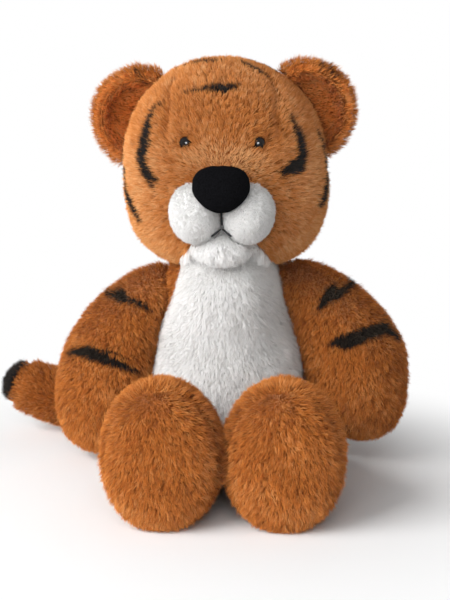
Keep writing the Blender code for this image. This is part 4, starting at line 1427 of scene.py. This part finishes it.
    def build(self, near: bvhtree.BVHTree) -> None:
        """Make the cover and its pile.

        Args:
            near: Forms that the head's pile has to stay out of.
        """
        everything = np.ones(len(self.form.data.polygons), bool)
        cover = panel_of(self.form, "head_cover_cloth", everything, CLOTH)
        dye_cloth(cover, self.dyed)
        dress(cover, material_of(ORANGE_BACKING))
        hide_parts("head_cover")
        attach(cover, "head")
        rng = np.random.default_rng(21)
        roots = Roots.on(self.form.data, self.pile.per_mm2, rng)
        roots = roots.only(self.clear_of_eyes(roots.points) & ~self.in_throat(roots.points))
        front = roots.points[:, 1] < 0.0
        for name, keep, seed in (("head_pile_front", front, 22), ("head_pile_back", ~front, 23)):
            fur = self.pile.grow(name, roots.only(keep), self.comb, seed, self.dyed,
                                 self.share, near, self.ruffle, self.tone_and_painted_light)
            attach(dress(fur, material_of(LIT_HEAD_PILE)), "head")
        roots = Roots.on(self.form.data, self.throat_pile.per_mm2, rng)
        roots = roots.only(self.in_throat(roots.points))
        fur = self.throat_pile.grow("throat_pile", roots, constant((0.0, -0.25, -1.0)), 24,
                                    None, None, near, level(0.5))
        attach(dress(fur, material_of(WHITE_PILE)), "head")


@dataclass
class Limb:
    """A stuffed limb: its cover, any end panel, and the pile."""

    name: str
    covers: tuple[str, ...]
    filling: str
    seam: Seam
    comb: Field
    pile: Pile
    seed: int
    strokes: tuple[Stroke, ...] = ()
    panel_start: Optional[Callable[[np.ndarray], np.ndarray]] = None
    panel_black: bool = False
    seam_depth: float = 2.4 * MM
    seam_width: float = 3.0 * MM
    seam_share: Rise = Rise(0.45, 1.0, 0.0, 5.0 * MM)
    tip_dye: Rise = Rise(0.0, 1.0, 3.5 * MM, 8.5 * MM)
    stuffing: Stuffing = Stuffing()
    fuller: Optional[Callable[[np.ndarray], np.ndarray]] = None
    form: bpy.types.Object = field(init=False)

    def beyond(self, points: np.ndarray) -> np.ndarray:
        """Distance past the end panel's seam, below zero before it."""
        if self.panel_start is None:
            return np.full(len(points), -1.0)
        return self.panel_start(points)

    def shape(self) -> None:
        """Make the limb's stuffed form."""
        self.form = copy_of_node(f"{self.name}_form", self.filling)
        self.stuffing.press(self.form)
        if self.fuller is not None:
            move_along_normals(self.form, self.fuller(points_of(self.form.data)))
        away = self.beyond(points_of(self.form.data))
        move_along_normals(self.form, -self.seam_depth * bell(away, self.seam_width))
        rest_on_floor(self.form)

    def dyed(self, points: np.ndarray, normals: np.ndarray) -> np.ndarray:
        """Stripes drawn across the limb as seen from the front, and the black tip."""
        black = cover_of(self.strokes, points[:, (0, 2)])
        if self.panel_black:
            black = np.maximum(black, self.tip_dye.at(self.beyond(points)))
        return black

    def share(self, points: np.ndarray, normals: np.ndarray) -> np.ndarray:
        """Shorter pile along the end panel's seam."""
        return self.seam_share.at(np.abs(self.beyond(points)))

    def build(self, near: bvhtree.BVHTree) -> None:
        """Make the covers and their pile.

        Args:
            near: Forms that the limb's pile has to stay out of.
        """
        past = self.beyond(face_middles(self.form.data)) > 0.0
        for node, keep in zip(self.covers, (~past, past)):
            piece = panel_of(self.form, f"{node}_cloth", keep, CLOTH)
            dye_cloth(piece, self.dyed)
            dress(piece, material_of(ORANGE_BACKING))
            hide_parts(node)
            self.seam.carry(piece)
        rng = np.random.default_rng(self.seed)
        roots = Roots.on(self.form.data, self.pile.per_mm2, rng)
        fur = self.pile.grow(f"{self.name}_pile", roots, self.comb, self.seed + 1, self.dyed,
                             self.share, near)
        dress(fur, material_of(ORANGE_PILE))
        self.seam.carry(fur)


def arm(side: Side) -> Limb:
    """An arm with its stripes.

    Args:
        side: Which arm.

    Returns:
        The limb, not yet built.
    """
    sign = side.sign
    stripes = {
        Side.RIGHT: (
            Stroke(((-84, 123, 1.0), (-79, 123, 2.0), (-73, 123, 4.4), (-68, 121, 2.2),
                    (-62, 120, 1.8), (-56, 117, 2.0), (-51, 113, 0.8))),
            Stroke(((-112, 81, 1.0), (-103, 84, 2.8), (-95, 85, 4.8), (-88, 83, 4.6),
                    (-80, 80, 3.8), (-73, 78, 2.9), (-66, 74, 1.8), (-58, 69, 0.9))),
            Stroke(((-84, 87, 1.0), (-74, 85, 0.6), (-66, 80, 0.2))),
        ),
        Side.LEFT: (
            Stroke(((66, 117, 1.2), (70, 122, 3.4), (74, 127, 4.0), (77, 131, 2.0))),
            Stroke(((72, 124, 3.6), (79, 126, 3.4), (85, 129, 2.4), (91, 131, 2.0), (97, 131, 1.0))),
            Stroke(((73, 92, 0.9), (79, 94, 3.2), (85, 95, 5.6), (91, 97, 5.4), (98, 100, 4.8),
                    (105, 101, 4.8), (112, 102, 4.2), (118, 98, 2.0), (124, 92, 1.0))),
        ),
    }[side]
    pivot = (sign * 38.0 * MM, 0.0, 146.0 * MM)
    out = (sign * 66.0 * MM, 0.0, 118.0 * MM)
    most = {Side.LEFT: 6.0 * MM, Side.RIGHT: 1.5 * MM}[side]
    outward = Rise(0.0, most, 40.0 * MM, 75.0 * MM)
    upward = Rise(0.0, 1.0, 45.0 * MM, 85.0 * MM)

    def shoulder(points: np.ndarray) -> np.ndarray:
        """How much fuller the stuffing is at the outer side of the shoulder."""
        outer = sign * points[:, 0] * 0.7 + (points[:, 2] - 100.0 * MM) * 0.7
        return outward.at(outer) * upward.at(points[:, 2])

    return Limb(
        name=f"arm_{side.value}",
        covers=(f"arm_cover_{side.value}",),
        filling=f"arm_filling_{side.value}",
        seam=Seam("torso", f"arm_{side.value}", pivot, out),
        comb=constant((0.0, -0.15, -1.0)),
        pile=Pile(6.2 * MM, 0.36 * MM, 3.0),
        seed=50 + int(10 * sign),
        strokes=stripes,
        stuffing=Stuffing(swell={Side.LEFT: 1.8 * MM, Side.RIGHT: 2.8 * MM}[side]),
        fuller=shoulder,
    )


def leg(side: Side) -> Limb:
    """A leg with its sole panel.

    Args:
        side: Which leg.

    Returns:
        The limb, not yet built.
    """
    sign = side.sign
    seam_forward = -149.2 * MM

    def past_seam(points: np.ndarray) -> np.ndarray:
        """Distance in front of the sole's seam."""
        return seam_forward - points[:, 1]

    forward = Rise(0.0, 3.0 * MM, 128.0 * MM, 150.0 * MM)
    low = Rise(1.0, 0.0, 12.0 * MM, 45.0 * MM)

    def foot_bottom(points: np.ndarray) -> np.ndarray:
        """How much fuller the foot is low at its front."""
        return forward.at(-points[:, 1]) * low.at(points[:, 2])

    parting = np.array([sign * 40.0 * MM - 1.0 * MM, -146.0 * MM, 76.0 * MM])

    def from_parting(points: np.ndarray, normals: np.ndarray) -> np.ndarray:
        """Away from the parting at the top of the foot, and down."""
        return unit(points - parting) + np.array([0.0, 0.0, -0.30])

    return Limb(
        name=f"leg_{side.value}",
        covers=(f"leg_cover_{side.value}", f"sole_panel_{side.value}"),
        filling=f"leg_filling_{side.value}",
        seam=Seam("torso", f"leg_{side.value}", (sign * 30.0 * MM, -48.0 * MM, 30.0 * MM),
                  (sign * 32.0 * MM, -92.0 * MM, 30.0 * MM)),
        comb=from_parting,
        pile=Pile(6.6 * MM, 0.36 * MM, 2.9),
        stuffing=Stuffing(swell=2.4 * MM),
        fuller=foot_bottom,
        seed=80 + int(10 * sign),
        panel_start=past_seam,
    )


def tail() -> Limb:
    """The tail with its black tip."""
    reach, behind, thick = 168.0 * MM, 72.0 * MM, 41.0 * MM
    shares = ((0.030, 0.42, 0.56), (-0.010, 0.80, 0.53), (-0.190, 1.02, 0.53),
              (-0.470, 0.97, 0.53), (-0.740, 0.83, 0.58), (-0.910, 0.82, 0.86),
              (-1.000, 0.83, 1.02))
    line = np.array([(side * reach, back * behind, up * thick) for side, back, up in shares])
    outward = unit(line[-1] - line[-2])
    seam_place = line[-2] + (line[-1] - line[-2]) * 0.28

    def past_seam(points: np.ndarray) -> np.ndarray:
        """Distance past the seam of the tip."""
        return (points - seam_place) @ outward

    fuller = Rise(0.0, 1.2 * MM, -14.0 * MM, 0.0)

    def blunt(points: np.ndarray) -> np.ndarray:
        """How much fuller the stuffing is at the tip."""
        return fuller.at(past_seam(points))

    def to_tip(points: np.ndarray, normals: np.ndarray) -> np.ndarray:
        """Along the tail's own line."""
        middles = (line[1:] + line[:-1]) / 2.0
        ways = unit(line[1:] - line[:-1])
        nearness = np.exp(-(np.linalg.norm(points[:, None] - middles[None], axis=2)
                            / (25.0 * MM)) ** 2)
        off_end = points - line[-1]
        off_end -= outward * (off_end @ outward)[:, None]
        return unit(nearness @ ways) + 12.0 * off_end

    return Limb(
        name="tail",
        covers=("tail_cover", "tail_tip"),
        filling="tail_filling",
        seam=Seam("torso", "tail", (12.0 * MM, 46.0 * MM, 20.0 * MM),
                  (-26.0 * MM, 72.0 * MM, 20.0 * MM)),
        comb=to_tip,
        pile=Pile(6.4 * MM, 0.36 * MM, 2.6),
        stuffing=Stuffing(voxel=3.5 * MM, soften=2, swell=3.2 * MM),
        fuller=blunt,
        seed=120,
        panel_start=past_seam,
        panel_black=True,
        seam_depth=0.8 * MM,
    )


@dataclass
class Ear:
    """An ear: an outer bowl and its lining, both with pile."""

    side: Side
    head_centre: np.ndarray
    seat_deg: dict[Side, float] = field(default_factory=lambda: {Side.LEFT: 31.0,
                                                                 Side.RIGHT: 26.0})
    seat_radius: float = 66.0 * MM
    behind: float = 2.0 * MM
    voxel: float = 1.8 * MM
    soften: int = 8
    draw_in: float = 1.2 * MM
    clear_of_layer: float = 1.6 * MM
    back_pile: Pile = Pile(6.8 * MM, 0.36 * MM, 3.0)
    lining_pile: Pile = Pile(6.2 * MM, 0.36 * MM, 3.0)
    forms: dict[str, bpy.types.Object] = field(default_factory=dict)

    def centre(self) -> np.ndarray:
        """Middle of the ear's bowl."""
        seat = math.radians(self.seat_deg[self.side])
        return self.head_centre + np.array([self.side.sign * self.seat_radius * math.cos(seat),
                                            self.behind, self.seat_radius * math.sin(seat)])

    def shape(self) -> None:
        """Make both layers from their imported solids, drawn in under the pile."""
        for layer in ("back", "lining"):
            node = f"ear_{layer}_{self.side.value}"
            form = copy_of_node(f"{node}_cloth", node)
            even_out(form, self.voxel, self.soften)
            move_along_normals(form, -self.draw_in)
            form.data.shade_smooth()
            self.forms[layer] = form

    def comb(self, points: np.ndarray, normals: np.ndarray) -> np.ndarray:
        """From the seam at the head towards the rim."""
        return unit(points - self.head_centre - np.array([0.0, 12.0 * MM, 0.0]))

    def dyed(self, points: np.ndarray, normals: np.ndarray) -> np.ndarray:
        """A short dark brush mark at the top of the ear."""
        marks = {Side.RIGHT: Stroke(((-3, 33, 2.0), (1, 29, 2.6), (6, 24, 1.6))),
                 Side.LEFT: Stroke(((12, 33, 2.2), (19, 29, 2.6), (25, 23, 1.4)))}
        flat = (points - self.centre())[:, (0, 2)]
        return 0.5 * marks[self.side].cover(flat, edge=3.0 * MM)

    def build(self, near: bvhtree.BVHTree) -> None:
        """Dress the layers and grow their pile.

        Args:
            near: Forms that the ear's pile has to stay out of.
        """
        for number, (layer, pile, finish) in enumerate((
                ("back", self.back_pile, ORANGE_PILE),
                ("lining", self.lining_pile, LINING_PILE))):
            form = self.forms[layer]
            other = self.forms["lining" if layer == "back" else "back"]
            seed = 200 + 10 * number + int(4 * self.side.sign)
            roots = Roots.on(form.data, pile.per_mm2, np.random.default_rng(seed))
            gap = pile.room(roots, tree_of(other))
            roots = roots.only(gap > self.clear_of_layer)
            fur = pile.grow(f"ear_{layer}_{self.side.value}_pile", roots, self.comb, seed + 1,
                            self.dyed, None, near)
            dye_cloth(form, plain=0.5)
            dress(form, material_of(ORANGE_BACKING))
            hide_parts(f"ear_{layer}_{self.side.value}")
            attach(form, "head")
            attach(dress(fur, material_of(finish)), "head")


@dataclass
class Face:
    """Muzzle lobes, chin, nose, eyes, washers and the stitched mouth."""

    # the white lobes, and how far each is drawn in under its pile
    lobes: tuple[tuple[str, float], ...] = (("muzzle_left", 1.2 * MM), ("muzzle_right", 1.2 * MM),
                                            ("chin", 0.4 * MM))
    lobe_voxel: float = 2.0 * MM
    lobe_soften: int = 6
    muzzle_pile: Pile = Pile(3.0 * MM, 0.28 * MM, 6.0, tuft=1.6 * MM, gather=0.06, sway_deg=30.0,
                             foot_lift_deg=68.0, tip_lift_deg=34.0, least_gap=0.1 * MM)
    chin_pile: Pile = Pile(7.5 * MM, 0.34 * MM, 5.0, tuft=2.0 * MM, gather=0.06, sway_deg=26.0,
                           foot_lift_deg=60.0, tip_lift_deg=14.0, least_gap=0.1 * MM,
                           least_share=0.5)
    stitches: tuple[str, str] = ("philtrum_stitch", "mouth_stitch")
    nose_half: tuple[float, float, float] = (18.9 * MM, 9.6 * MM, 15.3 * MM)
    nose_centre: tuple[float, float, float] = (0.0, -84.0 * MM, 207.0 * MM)
    nose_lean_deg: float = 12.0
    comb_centre: tuple[float, float, float] = (0.0, -70.0 * MM, HEAD_HEIGHT - 10.0 * MM)
    forms: dict[str, bpy.types.Object] = field(default_factory=dict)

    def shape(self) -> None:
        """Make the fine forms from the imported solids."""
        self.forms["nose"] = self.nose_pad()
        for node, inset in self.lobes:
            form = copy_of_node(f"{node}_cloth", node)
            even_out(form, self.lobe_voxel, self.lobe_soften)
            refine(form)
            move_along_normals(form, -inset)
            form.data.shade_smooth()
            self.forms[node] = form

    def nose_pad(self) -> bpy.types.Object:
        """The padded nose: a ball pressed to a broad shield with a narrower foot.

        Returns:
            The pad's form.
        """
        bpy.ops.object.select_all(action="DESELECT")
        bpy.ops.mesh.primitive_uv_sphere_add(segments=72, ring_count=48, radius=1.0)
        form = bpy.context.view_layer.objects.active
        form.name = "nose_pad"
        places = points_of(form.data)
        side, front, up = places.T
        turn = np.arctan2(up, side)
        power = np.where(up > 0.0, 2.7, 2.3)
        square = (np.abs(np.cos(turn)) ** power + np.abs(np.sin(turn)) ** power) ** (-1.0 / power)
        side, up = side * square, up * square
        side = side * (1.0 - 0.05 * np.clip(up, 0.0, 1.0) ** 2
                       - 0.30 * np.clip(-up, 0.0, 1.0) ** 1.5)
        places = np.stack((side, front, up + 0.06 * side ** 2), axis=1) * np.array(self.nose_half)
        lean = np.array(Matrix.Rotation(math.radians(-self.nose_lean_deg), 3, "X"))
        set_points(form.data, places @ lean.T + np.array(self.nose_centre))
        move_along_normals(form, 0.12 * MM * drift(points_of(form.data), 3.0 * MM, 5.0))
        form.data.shade_smooth()
        return form

    def build(self, near: bvhtree.BVHTree) -> None:
        """Dress the face.

        Args:
            near: Forms that the muzzle's pile has to stay out of.
        """
        for number, (node, _) in enumerate(self.lobes):
            form = self.forms[node]
            others = tree_of(*(other for name, other in self.forms.items() if name != node),
                             *(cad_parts[stitch] for stitch in self.stitches))
            pile = self.chin_pile if node == "chin" else self.muzzle_pile
            comb = constant((0.0, -0.1, -1.0)) if node == "chin" else self.comb
            roots = Roots.on(form.data, pile.per_mm2, np.random.default_rng(300 + number))
            roots = roots.only(pile.room(roots, near) > 0.5 * MM)
            fur = pile.grow(f"{node}_pile", roots, comb, 310 + number, None, None, others)
            dye_cloth(form)
            dress(form, material_of(WHITE_BACKING))
            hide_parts(node)
            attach(form, "head")
            finish = WHITE_PILE if node == "chin" else MUZZLE_PILE
            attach(dress(fur, material_of(finish)), "head")
        nose = self.forms["nose"]
        dress(nose, material_of(NOSE_VELOUR))
        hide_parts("nose")
        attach(nose, "head")
        for node, finish in (("eye_left", EYE_PLASTIC), ("eye_right", EYE_PLASTIC),
                             ("eye_washer_left", WASHER_PLASTIC),
                             ("eye_washer_right", WASHER_PLASTIC),
                             ("philtrum_stitch", THREAD), ("mouth_stitch", THREAD)):
            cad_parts[node].data.materials.clear()
            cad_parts[node].data.materials.append(material_of(finish))

    def comb(self, points: np.ndarray, normals: np.ndarray) -> np.ndarray:
        """From the nose outwards and down."""
        away = unit(points - np.array(self.comb_centre))
        return away + np.array([0.0, 0.0, -0.6])


@dataclass
class Filling:
    """Loose fibre, or a cloth bag, inside a cover."""

    node: str
    body: str
    name: str
    finish: PlainFinish
    slot: str
    draw_in: float = 2.2 * MM
    voxel: float = 3.5 * MM
    soften: int = 3
    lumps: float = 0.6 * MM
    lump_size: float = 9.0 * MM

    def build(self) -> None:
        """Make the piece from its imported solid, a little smaller and lumpy."""
        obj = copy_of_node(self.name, self.node)
        even_out(obj, self.voxel, self.soften)
        lumps = self.lumps * (drift(points_of(obj.data), self.lump_size, 2.0) - 1.0)
        move_along_normals(obj, lumps - self.draw_in)
        dress(obj, material_of(self.finish))
        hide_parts(self.node)
        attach(obj, self.body)


@dataclass(frozen=True)
class Lamp:
    """A square soft light that faces the toy.

    A mirrored one shows in glossy surfaces, and there alone.
    """

    name: str
    place: tuple[float, float, float]
    size: float
    watts: float
    mirrored: bool = False
    aim: tuple[float, float, float] = (0.0, 0.0, 0.12)

    def hang(self) -> None:
        """Add the light to the scene."""
        light = bpy.data.lights.new(self.name, "AREA")
        light.shape = "SQUARE"
        light.size = self.size
        light.energy = self.watts
        obj = bpy.data.objects.new(self.name, light)
        obj.location = self.place
        way = Vector(self.aim) - Vector(self.place)
        obj.rotation_mode = "QUATERNION"
        obj.rotation_quaternion = way.to_track_quat("-Z", "Y")
        obj.visible_glossy = self.mirrored
        obj.visible_diffuse = not self.mirrored
        bpy.context.scene.collection.objects.link(obj)


@dataclass
class Studio:
    """Pale floor, soft lights, white surroundings and the camera."""

    distance: float = 1.03
    eye_height: float = 0.335
    side_deg: float = 1.8
    pitch_deg: float = 12.0
    lens_mm: float = 88.2
    sensor_mm: float = 36.0
    lamps: tuple[Lamp, ...] = (
        Lamp("key", (-1.42, -1.05, 0.92), 1.5, 58.0),
        Lamp("fill", (-0.1, -1.50, 0.85), 1.0, 9.5),
        Lamp("back", (0.0, 1.6, 1.5), 1.2, 3.0),
        Lamp("catch", (0.0, -1.50, 0.85), 0.6, 42.0, mirrored=True),
    )
    ambient: float = 0.18
    floor_size: float = 6.0
    floor_white: float = 0.93
    floor_near: float = 0.12
    floor_far: float = 0.31
    shadow_centre: tuple[float, float, float] = (-0.02, -0.06, 0.0)

    def floor_material(self) -> bpy.types.Material:
        """Pale floor that keeps the shadow near the toy and runs out into plain white."""
        sheet = NodeSheet("studio_floor")
        place = sheet.node("ShaderNodeTexCoord").outputs["Object"]
        length = sheet.node("ShaderNodeVectorMath", operation="DISTANCE")
        length.inputs[1].default_value = self.shadow_centre
        sheet.join(place, length.inputs[0])
        fade = sheet.node("ShaderNodeMapRange", interpolation_type="SMOOTHSTEP")
        fade.inputs["From Min"].default_value = self.floor_near
        fade.inputs["From Max"].default_value = self.floor_far
        sheet.join(length.outputs["Value"], fade.inputs["Value"])
        both = sheet.node("ShaderNodeMath", operation="MULTIPLY")
        sheet.join(fade.outputs["Result"], both.inputs[0])
        sheet.join(seen_white(sheet.tree), both.inputs[1])
        lit = sheet.node("ShaderNodeBsdfDiffuse")
        lit.inputs["Color"].default_value = (self.floor_white,) * 3 + (1.0,)
        plain = sheet.node("ShaderNodeEmission")
        mix = sheet.node("ShaderNodeMixShader")
        sheet.join(both.outputs[0], mix.inputs["Fac"])
        sheet.join(lit.outputs["BSDF"], mix.inputs[1])
        sheet.join(plain.outputs["Emission"], mix.inputs[2])
        return sheet.finish(mix.outputs["Shader"])

    def surroundings(self) -> None:
        """A white world that lights the toy evenly and softly."""
        world = bpy.data.worlds.new("studio")
        world.use_nodes = True
        bpy.context.scene.world = world
        tree = world.node_tree
        back = tree.nodes["Background"]
        level = tree.nodes.new("ShaderNodeMapRange")
        level.inputs["To Min"].default_value = self.ambient
        level.inputs["To Max"].default_value = 1.0
        tree.links.new(seen_white(tree), level.inputs["Value"])
        tree.links.new(level.outputs["Result"], back.inputs["Strength"])
        back.inputs["Color"].default_value = (1.0, 1.0, 1.0, 1.0)

    def build(self) -> None:
        """Set up everything but the toy."""
        bpy.ops.object.select_all(action="DESELECT")
        bpy.ops.mesh.primitive_plane_add(size=self.floor_size, location=(0.0, 0.0, 0.0))
        floor = bpy.context.view_layer.objects.active
        floor.name = "studio_floor"
        floor.data.materials.append(self.floor_material())
        for lamp in self.lamps:
            lamp.hang()
        self.surroundings()
        side, pitch = math.radians(self.side_deg), math.radians(self.pitch_deg)
        camera = bpy.data.objects.new("camera", bpy.data.cameras.new("camera"))
        camera.location = (self.distance * math.sin(side), -self.distance * math.cos(side),
                           self.eye_height)
        camera.rotation_euler = (math.radians(90.0) - pitch, 0.0, side)
        camera.data.lens = self.lens_mm
        camera.data.sensor_width = self.sensor_mm
        bpy.context.scene.collection.objects.link(camera)
        bpy.context.scene.camera = camera
        bpy.context.scene.view_settings.view_transform = "Standard"


def main() -> None:
    """Build the looks round the frame."""
    logging.basicConfig(level=logging.INFO, format="%(message)s")
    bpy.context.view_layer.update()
    Studio().build()
    torso = Torso()
    head = Head()
    limbs = [arm(side) for side in Side] + [leg(side) for side in Side] + [tail()]
    ears = [Ear(side, head.centre) for side in Side]
    face = Face()
    for part in (torso, head, *limbs, *ears, face):
        part.shape()
        LOG.info("shaped %s", getattr(part, "name", type(part).__name__))
    limb_forms = {limb.name: limb.form for limb in limbs}
    torso.build(tree_of(head.form, *limb_forms.values()), tree_of(*limb_forms.values()))
    layers = [form for ear in ears for form in ear.forms.values()]
    head.build(tree_of(torso.form, *layers, *face.forms.values()))
    for limb in limbs:
        others = [form for name, form in limb_forms.items() if name != limb.name]
        limb.build(tree_of(torso.form, head.form, *others))
    for ear in ears:
        ear.build(tree_of(head.form))
    face.build(tree_of(head.form))
    for form in (torso.form, head.form, *limb_forms.values()):
        bpy.data.objects.remove(form)
    fillings = [("torso_filling", "torso"), ("head_filling", "head"), ("tail_filling", "tail")]
    for stem in ("arm", "leg"):
        fillings += [(f"{stem}_filling_{side.value}", f"{stem}_{side.value}") for side in Side]
    for node, body in fillings:
        Filling(node, body, f"{node}_fibre", FIBRE, "fibre_filling").build()
    Filling("seat_pellet_bag", "torso", "pellet_bag", BAG_CLOTH, "pellet_cloth",
            draw_in=0.6 * MM, voxel=2.0 * MM, lumps=0.3 * MM).build()


if __name__ == "__main__":
    main()
